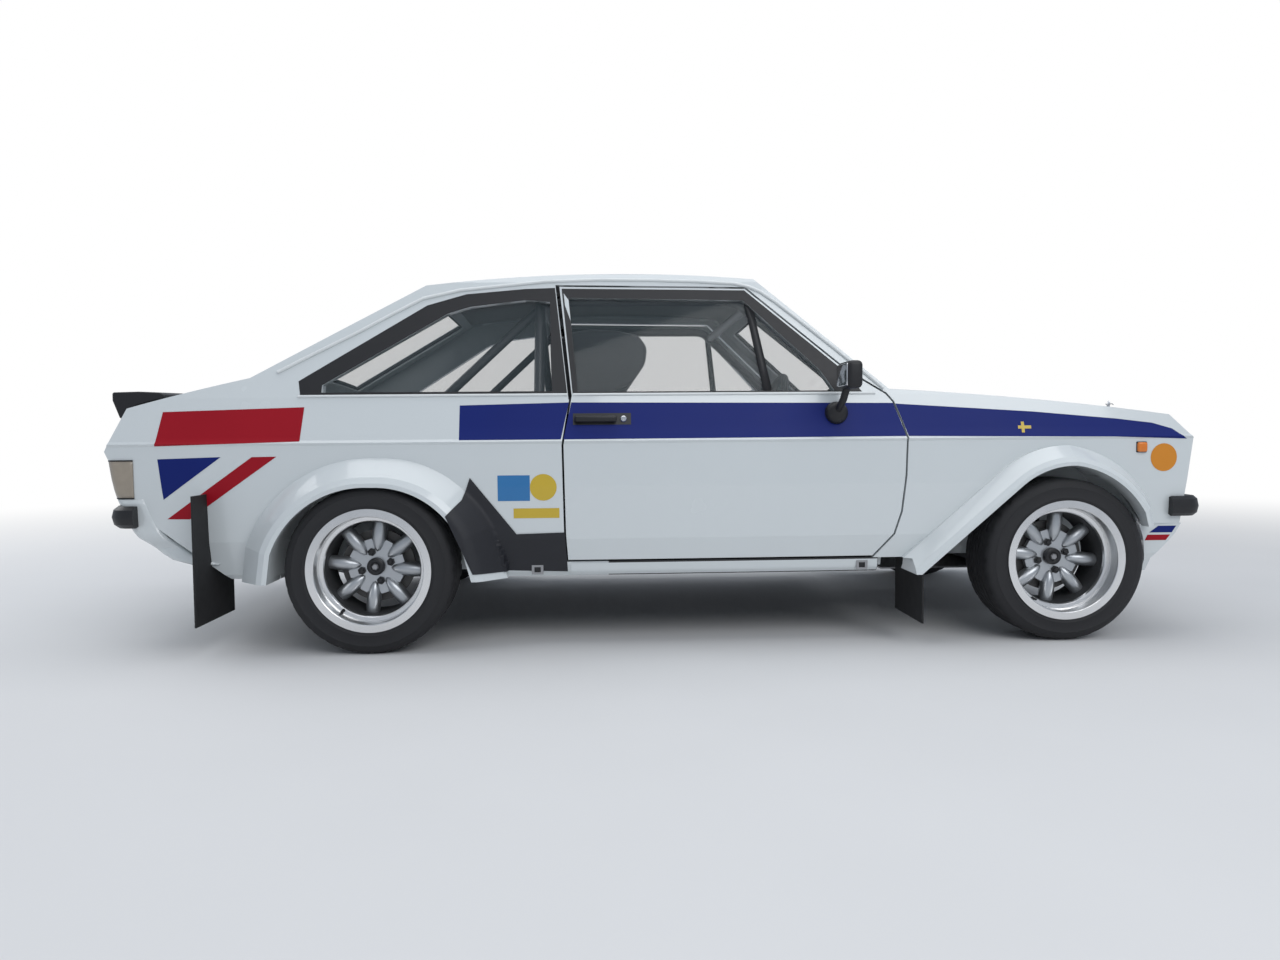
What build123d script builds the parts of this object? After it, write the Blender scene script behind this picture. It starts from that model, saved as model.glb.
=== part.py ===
"""A two-door rally saloon with flared arches, eight-spoke wheels and a roll cage.

Millimetres. +X is forward, +Y is the car's left, +Z is up. The origin is on the ground,
under the middle of the car. Places along the car are given from the front axle, positive
forward, and station() turns them into the car's own X.
"""

from math import asin, cos, degrees, hypot, radians, sin, sqrt, tan
import os

from build123d import *

os.makedirs("parts", exist_ok=True)

# Overall sizes
wheelbase = 2407
front_overhang = 545
rear_overhang = 958
front_axle_x = (wheelbase + rear_overhang - front_overhang) / 2
rear_axle = -wheelbase  # from the front axle, as are all the places along the car

# Clearances
panel_gap = 7.0  # shut lines round what opens
post_gap = 13.0  # behind the door's window frame, which swings back as it opens
seat_gap = 0.3  # between a piece and what it rests on
running_gap = 0.05  # radial, where one piece turns on another
swing_gap = 10.0  # room round a tyre as it steers

# Body shell
wall = 45.0  # depth of the body sides and the doors
lid = 22.0  # depth of the roof, the bonnet and the boot lid
plan_radius = 37200.0  # how the sides bow out, seen from above
widest_station = -1400.0
crease_z = 716.0
belt_z = 872.0
sill_z = 246.0
door_foot_z = 303.0

# Half section of a body side at its widest station, from the sill up
side_section = [
    # height, half width
    (sill_z, 738),
    (262, 752),
    (378, 777),
    (560, 786),
    (crease_z - 9, 786),
    (crease_z, 791),
    (crease_z + 9, 784),
    (belt_z, 742),
    (1288, 586),
    (1318, 566),
    (1342, 520),
    (1480, 100),
]
crease_half_width = max(half_width for _, half_width in side_section)

# Surfaces of the top and the ends: two places on the centre line, how far the surface
# rises between them, how far it falls away at panel_half_width, and its panel's depth
panel_half_width = 700.0
surfaces = {
    # name: (from, to, sag, crown, depth)
    "bonnet": ((-640, 920), (480, 814), 13, 26, lid),
    "nose_brow": ((440, 828), (552, 716), 0, 34, lid),
    "nose": ((545, 730), (500, 402), 0, 34, 30),
    "roof": ((-2230, 1309), (-1040, 1328), 30, 44, lid),
    "windscreen": ((-985, 1301), (-470, 882), 0, 72, 26),
    "backlight": ((-2850, 978), (-2240, 1310), 0, 40, 26),
    "deck": ((-3210, 868), (-2700, 988), 5, 18, lid),
    "tail": ((-3365, 690), (-3290, 850), 0, 44, 30),
    "tail_low": ((-3240, 420), (-3368, 700), 0, 44, 30),
    "tail_heel": ((-3040, 290), (-3262, 460), 0, 44, 30),
}

far = 6000.0  # longer than anything that is cut


def station(x):
    """The car's X of a place given from the front axle."""
    return front_axle_x + x


def other_side(part):
    """The same piece on the other side of the car."""
    return mirror(part, about=Plane.XZ)


def prism(outline, y_from, y_to):
    """An outline of (place, height) seen from the side, from y_from to y_to."""
    with BuildPart() as body:
        with BuildSketch(Plane.XZ.offset(-y_to)):
            with BuildLine():
                Polyline(*[(station(x), z) for x, z in outline], close=True)
            make_face()
        extrude(amount=y_to - y_from)
    return body.part


def plan_prism(outline, z_from, z_to):
    """An outline of (place, y) seen from above, from z_from to z_to."""
    with BuildPart() as body:
        with BuildSketch(Plane.XY.offset(z_from)):
            with BuildLine():
                Polyline(*[(station(x), y) for x, y in outline], close=True)
            make_face()
        extrude(amount=z_to - z_from)
    return body.part


def block(x_from, x_to, y_from, y_to, z_from, z_to):
    """A box between places along the car, widths and heights."""
    with BuildPart() as body:
        with Locations((station((x_from + x_to) / 2), (y_from + y_to) / 2, (z_from + z_to) / 2)):
            Box(x_to - x_from, y_to - y_from, z_to - z_from)
    return body.part


def tube(start, end, radius, bore=0.0):
    """A round bar or pipe between two (place, y, height) points."""
    a = Vector(station(start[0]), start[1], start[2])
    b = Vector(station(end[0]), end[1], end[2])
    with BuildPart() as body:
        with BuildSketch(Plane(origin=a, z_dir=b - a)):
            Circle(radius)
            if bore:
                Circle(bore, mode=Mode.SUBTRACT)
        extrude(amount=(b - a).length)
    return body.part


def bent_tube(points, radius, bend):
    """A bar bent through several points, with an arc of radius bend at each corner."""
    places = [Vector(station(x), y, z) for x, y, z in points]
    with BuildPart() as body:
        with BuildLine() as route:
            FilletPolyline(*places, radius=bend)
        with BuildSketch(Plane(origin=places[0], z_dir=places[1] - places[0])):
            Circle(radius)
        sweep(path=route.wires()[0])
    return body.part


def panel_solid(name, inset=0.0):
    """All that lies inside one of the surfaces, moved inwards by inset."""
    (x0, z0), (x1, z1), sag, crown, _ = surfaces[name]
    x0, x1 = station(x0), station(x1)
    length = hypot(x1 - x0, z1 - z0)
    run = Vector((x1 - x0) / length, 0, (z1 - z0) / length)
    out = Vector(-run.Z, 0, run.X)
    middle = Vector((x0 + x1) / 2, 0, (z0 + z1) / 2) + out * (sag - inset)
    plane = Plane(origin=middle, x_dir=(0, 1, 0), z_dir=Vector(0, 1, 0).cross(out))
    with BuildPart() as body:
        with BuildSketch(plane):
            with BuildLine():
                w = 1.4 * panel_half_width
                fall = crown * (w / panel_half_width) ** 2
                ThreePointArc((-w, -fall), (0, 0), (w, -fall))
                Polyline((w, -fall), (w, -3000), (-w, -3000), (-w, -fall))
            make_face()
        if sag:
            radius = (length / 2) ** 2 / (2 * sag) - inset
            centre = middle - out * radius
            half_turn = degrees(asin(2600.0 / radius))
            revolve(axis=Axis(centre, (0, 1, 0)), revolution_arc=2 * half_turn)
        else:
            extrude(amount=far, both=True)
    if sag:
        return body.part.rotate(Axis(centre, (0, 1, 0)), -half_turn)
    return body.part


def side_solid(inset=0.0):
    """All that lies between the two body sides, moved inwards by inset."""
    axis_y = crease_half_width - plan_radius
    half_turn = degrees(asin(2300.0 / plan_radius))
    start = radians(-half_turn)
    plane = Plane(
        origin=(station(widest_station), axis_y, 0),
        x_dir=(sin(start), cos(start), 0),
        z_dir=(cos(start), -sin(start), 0),
    )
    with BuildPart() as body:
        with BuildSketch(plane):
            with BuildLine():
                Polyline(
                    *[(y - inset - axis_y, z) for z, y in side_section],
                    (-200 - axis_y, side_section[-1][0]),
                    (-200 - axis_y, sill_z),
                    close=True,
                )
            make_face()
        revolve(
            axis=Axis((station(widest_station), axis_y, 0), (0, 0, 1)),
            revolution_arc=-2 * half_turn,
        )
        mirror(about=Plane.XZ)
    return body.part


def cut_to(part, *keepers):
    """What a part shares with every one of the keepers."""
    with BuildPart() as body:
        add(part)
        for keeper in keepers:
            add(keeper, mode=Mode.INTERSECT)
    return body.part


def hull(inset_side, inset_top):
    """The body's outside shape, or with insets the room inside its panels."""

    def depth(name):
        return surfaces[name][-1] if inset_top else 0.0

    sides = side_solid(inset_side)
    cabin = cut_to(
        sides,
        panel_solid("roof", depth("roof")),
        panel_solid("windscreen", depth("windscreen")),
        panel_solid("backlight", depth("backlight")),
        block(-2900, -400, -800, 800, sill_z, 1500),
    )
    front = cut_to(
        sides,
        panel_solid("bonnet", depth("bonnet")),
        panel_solid("nose_brow", depth("nose_brow")),
        panel_solid("nose", depth("nose")),
        block(-900, 700, -800, 800, sill_z, 1000),
    )
    rear = cut_to(
        sides,
        panel_solid("deck", depth("deck")),
        panel_solid("tail", depth("tail")),
        panel_solid("tail_low", depth("tail_low")),
        panel_solid("tail_heel", depth("tail_heel")),
        block(-3500, -2500, -800, 800, sill_z, 1100),
    )
    with BuildPart() as body:
        add(cabin)
        add(front)
        add(rear)
    return body.part



# Arch outlines, from the wheel's centre: each is a foot, a shoulder, an arc over the crown
# in two halves, a shoulder and a foot
arches = {
    "front": ((-544, -60), (-174, 259), (-80, 315), (22, 331), (150, 285), (266, 165), (322, -60)),
    "rear": ((-334, -60), (-318, 60), (-190, 225), (16, 281), (191, 234), (306, 101), (350, -60)),
}
# How far the flares stand out, and the outline's scale there
flare_sections = {
    "front": ((846, 1.04), (834, 1.09), (776, 1.21), (730, 1.21)),
    "rear": ((860, 1.05), (846, 1.12), (776, 1.34), (730, 1.34)),
}
axle_places = {"front": 0.0, "rear": rear_axle}
wheel_radius = 286.0
wheel_centre_z = wheel_radius


def arch_face(end, y, scale):
    """An arch outline at a given half width, scaled about the wheel's centre."""
    x0, z0 = station(axle_places[end]), wheel_centre_z
    p = [(x0 + scale * x, z0 + scale * z) for x, z in arches[end]]
    with BuildSketch(Plane.XZ.offset(-y)) as outline:
        with BuildLine():
            Line(p[0], p[1])
            ThreePointArc(p[1], p[2], p[3])
            ThreePointArc(p[3], p[4], p[5])
            Polyline(p[5], p[6], p[0])
        make_face()
    return outline.sketch.face()


def arch_prism(end, y_from, y_to, scale=1.0):
    """The arch outline from y_from to y_to."""
    face = arch_face(end, y_to, scale)
    with BuildPart() as body:
        extrude(face, amount=y_to - y_from)
    return body.part


def flare(end):
    """The solid bulge over a left wheel, before the wheel's own room is cut."""
    faces = [arch_face(end, y, scale) for y, scale in flare_sections[end]]
    with BuildPart() as body:
        loft(faces, ruled=True)
    return cut_to(body.part, block(-3400, 700, 700, 900, sill_z, 900))


# Doors: outline from the foot of the rear edge, forwards and round
door_front_x = -554.0
door_outline = [
    (-1740, door_foot_z),
    (-668, door_foot_z),
    (-597, 382),
    (-572, 460),
    (-558, 589),
    (door_front_x, crease_z),
    (-570, 775),
    (-595, 844),
    (-618, belt_z),
    (-749, 956),
    (-1095, 1262),
    (-1766, 1270),
    (-1722, belt_z),
    (-1751, 702),
    (-1746, 394),
]
door_glass_outline = [(-1700, 886), (-800, 886), (-845, 960), (-1105, 1218), (-1734, 1228)]
quarter_glass_outline = [
    (-2583, 889),
    (-1790, 889),
    (-1800, 1213),
    (-1887, 1220),
    (-2081, 1196),
    (-2161, 1171),
    (-2583, 915),
]
roof_split = [(-420, belt_z), (-420, 1500), (-2870, 1500), (-2870, 965), (-2700, belt_z)]

# Bonnet and boot lid, seen from above
bonnet_half_width = 655.0
bonnet_rear_edge, bonnet_rear_middle = -545.0, -415.0
grille_top_z = 706.0
nose_foot_z = 402.0
bulkhead_x = -638.0
boot_half_width = 575.0
boot_front_edge, boot_front_middle = -2850.0, -2905.0
boot_foot_z = 560.0

# Wheels
tyre_width = 200.0
rim_radius = 209.0
bead_radius = 190.5
track_half = {"front": 722.0, "rear": 736.0}

# Steering: the lower ball joint and the strut's top mount, left side
ball_joint = (0.0, 640.0, 190.0)
strut_top = (-30.0, 500.0, 800.0)
steer_lock = 30.0
strut_tube_radius = 25.0
rod_radius = 11.0

axis_a = Vector(station(ball_joint[0]), ball_joint[1], ball_joint[2])
axis_b = Vector(station(strut_top[0]), strut_top[1], strut_top[2])
steer_axis = (axis_b - axis_a).normalized()

# Glass
glass_depth, glass_thickness = 12.0, 6.0


def offset_prism(outline, growth, y_from, y_to):
    """An outline seen from the side, grown all round, from y_from to y_to."""
    with BuildPart() as body:
        with BuildSketch(Plane.XZ.offset(-y_to)):
            with BuildLine():
                Polyline(*[(station(x), z) for x, z in outline], close=True)
            make_face()
            if growth:
                offset(amount=growth, kind=Kind.INTERSECTION)
        extrude(amount=y_to - y_from)
    return body.part


def lid_outline(hinge_edge, hinge_middle, far_end, half_width, growth, z_from, z_to):
    """A lid's outline from above: one bowed edge across the car, straight for the rest."""
    back = growth if hinge_edge > far_end else -growth
    w = half_width + growth
    with BuildPart() as body:
        with BuildSketch(Plane.XY.offset(z_from)):
            with BuildLine():
                a = (station(hinge_edge + back), w)
                b = (station(hinge_middle + back), 0)
                c = (station(hinge_edge + back), -w)
                ThreePointArc(a, b, c)
                Polyline(c, (station(far_end), -w), (station(far_end), w), a)
            make_face()
        extrude(amount=z_to - z_from)
    return body.part


def less(part, *cutters):
    """A part with every cutter taken away."""
    with BuildPart() as body:
        add(part)
        for cutter in cutters:
            add(cutter, mode=Mode.SUBTRACT)
    return body.part


def joined(*parts):
    """Parts fused into one."""
    with BuildPart() as body:
        for part in parts:
            add(part)
    return body.part


def ring(place, y_from, y_to, radius, bore, z=wheel_centre_z):
    """A ring or disc about an axis across the car."""
    with BuildPart() as body:
        with BuildSketch(Plane(origin=(station(place), y_from, z), z_dir=(0, 1, 0))):
            Circle(radius)
            if bore:
                Circle(bore, mode=Mode.SUBTRACT)
        extrude(amount=y_to - y_from)
    return body.part


def largest(part):
    """The biggest solid of a part, without stray slivers."""
    return max(part.solids(), key=lambda solid: solid.volume)


def finish(name, part):
    """Names a piece and writes it."""
    part.label = name
    export_step(part, f"parts/{name}.step")
    pieces = part.solids()
    print(f"{name:20s} {len(pieces)} solids {len(part.faces())} faces {sum(s.volume for s in pieces) / 1e6:.2f} l", flush=True)


def turning_room():
    """The room that a left front tyre needs as it steers, about the steering axis."""
    shoulder = tyre_width / 2 - 10
    profile = []
    for turn in range(0, 181, 15):
        edge = Vector(
            axis_a.X - ball_joint[0] + wheel_radius * sin(radians(turn)),
            track_half["front"] + shoulder,
            wheel_centre_z + wheel_radius * cos(radians(turn)),
        )
        along = (edge - axis_a).dot(steer_axis)
        reach = (edge - axis_a - steer_axis * along).length + swing_gap
        profile.append((reach, along))
    inner_top = Vector(axis_a.X - ball_joint[0], track_half["front"] - shoulder, wheel_centre_z + wheel_radius) - axis_a
    top, foot = inner_top.dot(steer_axis) + swing_gap, profile[-1][1] - swing_gap
    inner_reach = (inner_top - steer_axis * inner_top.dot(steer_axis)).length
    crown = [(0, top), (inner_reach, top), (profile[0][0], profile[0][1] + swing_gap)]
    ahead = Vector(0, 1, 0).cross(steer_axis).normalized()
    plane = Plane(origin=axis_a, x_dir=ahead, z_dir=ahead.cross(steer_axis))
    with BuildPart() as body:
        with BuildSketch(plane):
            with BuildLine():
                Polyline(*crown, *profile, (0, foot), close=True)
            make_face()
        revolve(axis=Axis(axis_a, steer_axis))
    return body.part


# The whole shell, and what is cut from it
outer = hull(0, False)
inner = hull(wall, True)
shell = less(outer, inner)
skin_outside = hull(-seat_gap, False)

door_cut = offset_prism(door_outline, panel_gap, 480, 900)
post_cut = offset_prism([(-1690, belt_z), (-1690, 1262), (-1766, 1264), (-1722, belt_z)], post_gap, 480, 900)
door_room = joined(door_cut, post_cut)
bonnet_cut = lid_outline(
    bonnet_rear_edge, bonnet_rear_middle, 700, bonnet_half_width, panel_gap, grille_top_z - panel_gap, 1000
)
boot_cut = lid_outline(
    boot_front_edge, boot_front_middle, -3500, boot_half_width, panel_gap, boot_foot_z - panel_gap, 1100
)
upper = prism(roof_split, -900, 900)
left_half = block(-3500, 700, 0, 900, 200, 1500)
lamp_room = block(-3500, -3212, boot_half_width + 12, 900, 530, 663)
nose_room = block(430, 700, -700, 700, 200, grille_top_z)
tail_room = block(-3500, -2900, -boot_half_width - 12, boot_half_width + 12, 200, boot_foot_z - panel_gap)
tyre_room_rear = ring(rear_axle, 560, 838, 330, 0)

# Rear quarter panels, with the flare, the wheel house and its inner wall
quarter_region = block(-3500, -1600, 0, 900, sill_z, 1100)
quarter_skin = less(cut_to(shell, quarter_region), upper, door_room, boot_cut, tail_room, lamp_room)
house = less(
    joined(
        ring(rear_axle, 548, 760, 342, 0),
    ),
    ring(rear_axle, 560, 838, 330, 0),
)
house = cut_to(house, block(-2900, -1900, 500, 800, sill_z, 700))
house = less(house, less(block(-2900, -1900, 700, 900, 200, 800), inner))
quarter_left = largest(
    less(
        joined(quarter_skin, less(flare("rear"), inner), house),
        arch_prism("rear", 600, 900),
        tyre_room_rear,
        block(rear_axle - 60, rear_axle + 60, 500, 600, 200, wheel_centre_z + 60),
    )
)
finish("quarter_left", quarter_left)
finish("quarter_right", other_side(quarter_left))

# Front wings
wing_region = block(-760, 700, 0, 900, sill_z, 1000)
wing_left = largest(
    less(
        joined(
            less(cut_to(shell, wing_region), upper, bonnet_cut, nose_room, door_room),
            less(flare("front"), inner),
        ),
        door_room,
        arch_prism("front", 560, 900),
        turning_room(),
        block(-760, -540, 0, 900, 200, door_foot_z - 7),
        block(200, 700, 0, 900, 200, nose_foot_z),
    )
)
finish("wing_left", wing_left)
finish("wing_right", other_side(wing_left))

# Roof, with the pillars and the frames of both screens. Each screen is cut square to itself.
screens = {
    # surface: (half width at the low end, at the high end, low end's place along it, high end's)
    "windscreen": ((596, 500), (46, 596)),
    "backlight": ((560, 478), (40, 640)),
}


def screen_prism(name, growth):
    """The outline of a screen, square through its surface."""
    (x0, z0), (x1, z1), _, _, _ = surfaces[name]
    if x0 > x1 or name == "windscreen":
        low, high = (x1, z1), (x0, z0)
    else:
        low, high = (x0, z0), (x1, z1)
    length = hypot(high[0] - low[0], high[1] - low[1])
    run = Vector((high[0] - low[0]) / length, 0, (high[1] - low[1]) / length)
    (low_half, high_half), (start, end) = screens[name]
    low_half, high_half = low_half + growth, high_half + growth
    start, end = start - growth, end + growth
    out = Vector(0, 1, 0).cross(run)
    plane = Plane(origin=(station(low[0]), 0, low[1]), x_dir=(0, 1, 0), z_dir=Vector(0, 1, 0).cross(run))
    with BuildPart() as body:
        with BuildSketch(plane):
            s = 1 if plane.y_dir.dot(run) > 0 else -1
            with BuildLine():
                Polyline(
                    (low_half, s * start),
                    (high_half, s * end),
                    (-high_half, s * end),
                    (-low_half, s * start),
                    close=True,
                )
            make_face()
        extrude(amount=160, both=True)
    return body.part


roof_full = less(
    cut_to(shell, upper),
    bonnet_cut,
    boot_cut,
    door_room,
    other_side(door_room),
    screen_prism("windscreen", 0),
    screen_prism("backlight", 0),
    offset_prism(quarter_glass_outline, 0, 300, 900),
    other_side(offset_prism(quarter_glass_outline, 0, 300, 900)),
)
finish("roof", largest(roof_full))


def glass_in_surface(name):
    """A screen's glass, a little inside the panels' surface."""
    sheet = less(
        cut_to(panel_solid(name, glass_depth), screen_prism(name, -seat_gap)),
        panel_solid(name, glass_depth + glass_thickness),
    )
    return cut_to(sheet, block(-3100, -300, -700, 700, 850, 1400))


side_sheet = less(side_solid(glass_depth), side_solid(glass_depth + glass_thickness))
quarter_glass = cut_to(side_sheet, offset_prism(quarter_glass_outline, -seat_gap, 300, 900))
finish(
    "fixed_glass",
    joined(
        glass_in_surface("windscreen"),
        glass_in_surface("backlight"),
        quarter_glass,
        other_side(quarter_glass),
    ),
)

# Bonnet and boot lid, with the spoiler on the lid
bonnet = cut_to(
    shell,
    lid_outline(bonnet_rear_edge, bonnet_rear_middle, 700, bonnet_half_width, 0, grille_top_z, 1000),
)
finish("bonnet", largest(bonnet))
boot = cut_to(
    shell,
    lid_outline(boot_front_edge, boot_front_middle, -3500, boot_half_width, 0, boot_foot_z, 1100),
)
boot_lid = largest(boot)
finish("boot_lid", boot_lid)
spoiler_blade = prism([(-3335, 900), (-3120, 880), (-3100, 840), (-3290, 800)], -690, 690)
spoiler = less(
    spoiler_blade,
    skin_outside,
)
finish("rear_spoiler", largest(less(spoiler, block(-3500, -3000, boot_half_width, 800, 700, 868), block(-3500, -3000, -800, -boot_half_width, 700, 868))))

# Doors with their glass and mirrors
door_left = cut_to(shell, offset_prism(door_outline, 0, 480, 900))
door_left = largest(less(door_left, offset_prism(door_glass_outline, 0, 480, 900)))
finish("door_left", door_left)
finish("door_right", other_side(door_left))
door_glass_left = cut_to(side_sheet, offset_prism(door_glass_outline, -seat_gap, 400, 900))
finish("door_glass_left", door_glass_left)
finish("door_glass_right", other_side(door_glass_left))
mirror_left = joined(
    less(block(-800, -772, 730, 880, 800, 845), skin_outside),
    block(-812, -764, 800, 950, 845, 960),
)
finish("mirror_left", largest(mirror_left))
finish("mirror_right", other_side(largest(mirror_left)))

# Nose: the panel round the grille, its grille, the lamps, the spoiler under it
grille_outline = (-640, 640, 542, 698)
front_skin = cut_to(shell, nose_room)
grille_room = block(300, 700, grille_outline[0], grille_outline[1], grille_outline[2], grille_outline[3])
front_panel = less(front_skin, grille_room, block(0, 800, -800, 800, 200, 402))
finish("front_panel", largest(front_panel))
lamp_places = ((-500, 0), (500, 0))
lamp_radius = 72.0
lamp_z = 620.0


def disc_x(x_from, x_to, y, z, radius, bore=0.0):
    """A disc or ring about an axis along the car."""
    return tube((x_from, y, z), (x_to, y, z), radius, bore)


grille = cut_to(less(panel_solid("nose", 14), panel_solid("nose", 26)), grille_room, outer)
for y in (-500, 500):
    grille = less(grille, disc_x(300, 700, y, lamp_z, lamp_radius + seat_gap))
finish("grille", largest(grille))
headlamps = joined(
    *[cut_to(less(panel_solid("nose", 6), panel_solid("nose", 50)), disc_x(300, 700, y, lamp_z, lamp_radius)) for y in (-500, 500)]
)
finish("headlamps", headlamps)
front_spoiler = less(
    cut_to(
        prism([(470, 401.7), (449, 366), (423, 336), (362, 276), (347, 230), (316, 226), (300, 401.7)], -730, 730),
        side_solid(0).moved(Location((0, 0, -60))),
    ),
    block(200, 420, -690, 690, 240, 380),
    turning_room(),
    other_side(turning_room()),
)
finish("front_spoiler", largest(front_spoiler))
rear_panel = less(cut_to(shell, tail_room), block(-3500, -2800, -800, 800, 200, 300))
finish("rear_panel", largest(rear_panel))
lamps = less(cut_to(outer, block(-3500, -3212.3, boot_half_width + 12.3, 900, 530.3, 662.7)), inner)
finish("tail_lamps", joined(lamps, other_side(lamps)))
bumper_end = cut_to(
    prism([(407, 451), (424, 491), (475, 501), (560, 496), (560, 430), (421, 426)], 480, 830),
    side_solid(-26),
    panel_solid("nose", -26),
)
bumper_heel = cut_to(
    prism([(-3193, 431), (-3195, 489), (-3239, 509), (-3420, 500), (-3420, 440), (-3273, 428)], 480, 830),
    side_solid(-26),
    panel_solid("tail_low", -26),
)
bumper_front = largest(less(bumper_end, skin_outside))
bumper_rear = largest(less(bumper_heel, skin_outside))
finish("bumpers", joined(bumper_front, bumper_rear, other_side(bumper_front), other_side(bumper_rear)))

# Floor, sills and bulkheads, inside the panels
room = inner
floor_parts = [
    cut_to(block(-1900, bulkhead_x, -760, 760, sill_z, 262), room),
    cut_to(block(-1916, -1900, -760, 760, sill_z, 500), room),
    cut_to(block(-2700, -1900, -540, 540, 484, 500), room),
    cut_to(block(-2716, -2700, -540, 540, 400, 500), room),
    cut_to(block(-3230, -2700, -760, 760, 400, 416), room),
    cut_to(block(-1916, bulkhead_x, -150, 150, 262, 400), room),
]
sill = cut_to(shell, block(-1733, -647, 0, 900, sill_z, door_foot_z - panel_gap))
sill_box = block(-1733, -647, 640, 690, 262, 296)
floor_pan = less(joined(*floor_parts, sill, other_side(sill)), block(-1930, -600, -130, 130, 200, 382))
house_left = ring(rear_axle, 548, 838, 342, 0)
floor_pan = less(floor_pan, quarter_left, other_side(quarter_left), house_left, other_side(house_left))
finish("floor_pan", floor_pan)

# Engine bay: bulkhead, side walls, wheel liners and strut towers
bay_half = 432.0
liner_radius = 392.0
bulkhead = less(cut_to(block(bulkhead_x, bulkhead_x + 16, -760, 760, 262, 890), room), block(-700, -600, -125, 125, 200, 385))
wall_left = cut_to(block(-622, 450, bay_half - 10, bay_half, 262, 800), room)
liner = cut_to(ring(-10, bay_half, 760, liner_radius + 8, liner_radius), room, block(-500, 450, 0, 900, 330, 800))
tower_x, tower_y, tower_radius, tower_top = -24.0, 512.0, 98.0, 808.0


def post(x, y, z_from, z_to, radius):
    """An upright cylinder."""
    return tube((x, y, z_from), (x, y, z_to), radius)


tower = less(post(tower_x, tower_y, 620, tower_top, tower_radius), post(tower_x, tower_y, 500, 796, tower_radius - 8))
bay_side = less(
    joined(less(joined(wall_left, liner), post(tower_x, tower_y, 560, 796, tower_radius - 8)), tower),
    tube(ball_joint, (2 * strut_top[0] - ball_joint[0], 2 * strut_top[1] - ball_joint[1], 1410), rod_radius + running_gap),
)
engine_bay = less(
    joined(bulkhead, bay_side, other_side(bay_side), cut_to(block(420, 438, -700, 700, 640, 700), room)),
    block(290, 700, -900, 900, 200, nose_foot_z),
)
finish("engine_bay", engine_bay)

# Struts with the knuckles
with BuildPart() as strut:
    with BuildSketch(Plane(origin=axis_a + steer_axis * 60, z_dir=steer_axis)):
        Circle(strut_tube_radius)
    extrude(amount=330)
    with BuildSketch(Plane(origin=axis_a + steer_axis * 380, z_dir=steer_axis)):
        Circle(rod_radius)
    extrude(amount=(axis_b - axis_a).length - 380)
    with BuildSketch(Plane(origin=axis_a + steer_axis * 330, z_dir=steer_axis)):
        Circle(50)
    extrude(amount=8)
    with BuildSketch(Plane(origin=axis_a, z_dir=steer_axis)):
        Circle(18.0)
    extrude(amount=62)
hub_y = track_half["front"]
knuckle = joined(strut.part, ring(0, 590, 662, 40, 0), ring(0, 662, hub_y + 4, 15, 0), block(-100, 0, 592, 612, 275, 300))
strut_left = knuckle
finish("strut_left", strut_left)
finish("strut_right", other_side(strut_left))

# Wheels
rim_section = [
    # radius, distance outwards from the tyre's middle
    (rim_radius, 104),
    (rim_radius, 99.7),
    (bead_radius, 99.7),
    (bead_radius, -99.7),
    (rim_radius, -99.7),
    (rim_radius, -104),
    (bead_radius - 8, -104),
    (bead_radius - 8, 104),
]
tyre_section = [
    (bead_radius + seat_gap, -99.4),
    (225, -99.4),
    (245, -tyre_width / 2 - 2),
    (272, -94),
    (wheel_radius, -82),
    (wheel_radius, 82),
    (272, 94),
    (245, tyre_width / 2 + 2),
    (225, 99.4),
    (bead_radius + seat_gap, 99.4),
    (bead_radius + 14, 84),
    (wheel_radius - 14, 80),
    (wheel_radius - 14, -80),
    (bead_radius + 14, -84),
]


def turned(section, place, middle, outward=1):
    """A section of (radius, width) turned about the wheel's axle line."""
    plane = Plane(origin=(station(place), middle, wheel_centre_z), x_dir=(0, 0, 1), z_dir=(1, 0, 0))
    with BuildPart() as body:
        with BuildSketch(plane):
            with BuildLine():
                Polyline(*[(r, w) for r, w in section], close=True)
            make_face()
        revolve(axis=Axis(plane.origin, (0, 1, 0)))
    return body.part


spokes = 8
for end, place in axle_places.items():
    middle = track_half[end]
    tyre = turned(tyre_section, place, middle)
    rim = joined(
        turned(rim_section, place, middle),
        ring(place, middle - 30, middle + 6, 62, 15 + running_gap),
    )
    with BuildPart() as spoke_ring:
        with BuildSketch(Plane(origin=(station(place), middle + 2, wheel_centre_z), x_dir=(1, 0, 0), z_dir=(0, -1, 0))):
            with PolarLocations(0, spokes):
                Polygon((50, -17), (bead_radius - 4, -24), (bead_radius - 4, 24), (50, 17), align=None)
        extrude(amount=26)
    rim = joined(rim, spoke_ring.part)
    rotor = ring(place, middle - 56, middle - 44, 126, 15 + running_gap)
    hat = ring(place, middle - 44, middle - 30.3, 70, 15 + running_gap)
    disc = joined(rotor, hat)
    for name, part in (("tyre", tyre), ("rim", rim), ("brake_disc", disc)):
        finish(f"{name}_{end}_left", part)
        finish(f"{name}_{end}_right", other_side(part))

# Live rear axle on leaf springs, and the shaft that drives it
axle_reach = track_half["rear"]
axle = joined(
    ring(rear_axle, -560, 560, 38, 0),
    ring(rear_axle, -axle_reach - 4, axle_reach + 4, 15, 0),
    disc_x(rear_axle - 90, rear_axle + 120, 0, wheel_centre_z, 105),
)
finish("rear_axle", axle)
spring_y, spring_half_width = 488.0, 26.0
spring_eye_front, spring_eye_rear = (-1870.0, 300.0), (-2950.0, 335.0)
pad_top = wheel_centre_z - 38 - seat_gap
leaf_outline = [
    spring_eye_front,
    (spring_eye_front[0], spring_eye_front[1] - 20),
    (rear_axle + 90, pad_top - 34),
    (rear_axle - 90, pad_top - 34),
    (spring_eye_rear[0], spring_eye_rear[1] - 20),
    spring_eye_rear,
    (rear_axle - 90, pad_top),
    (rear_axle + 90, pad_top),
]
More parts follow.
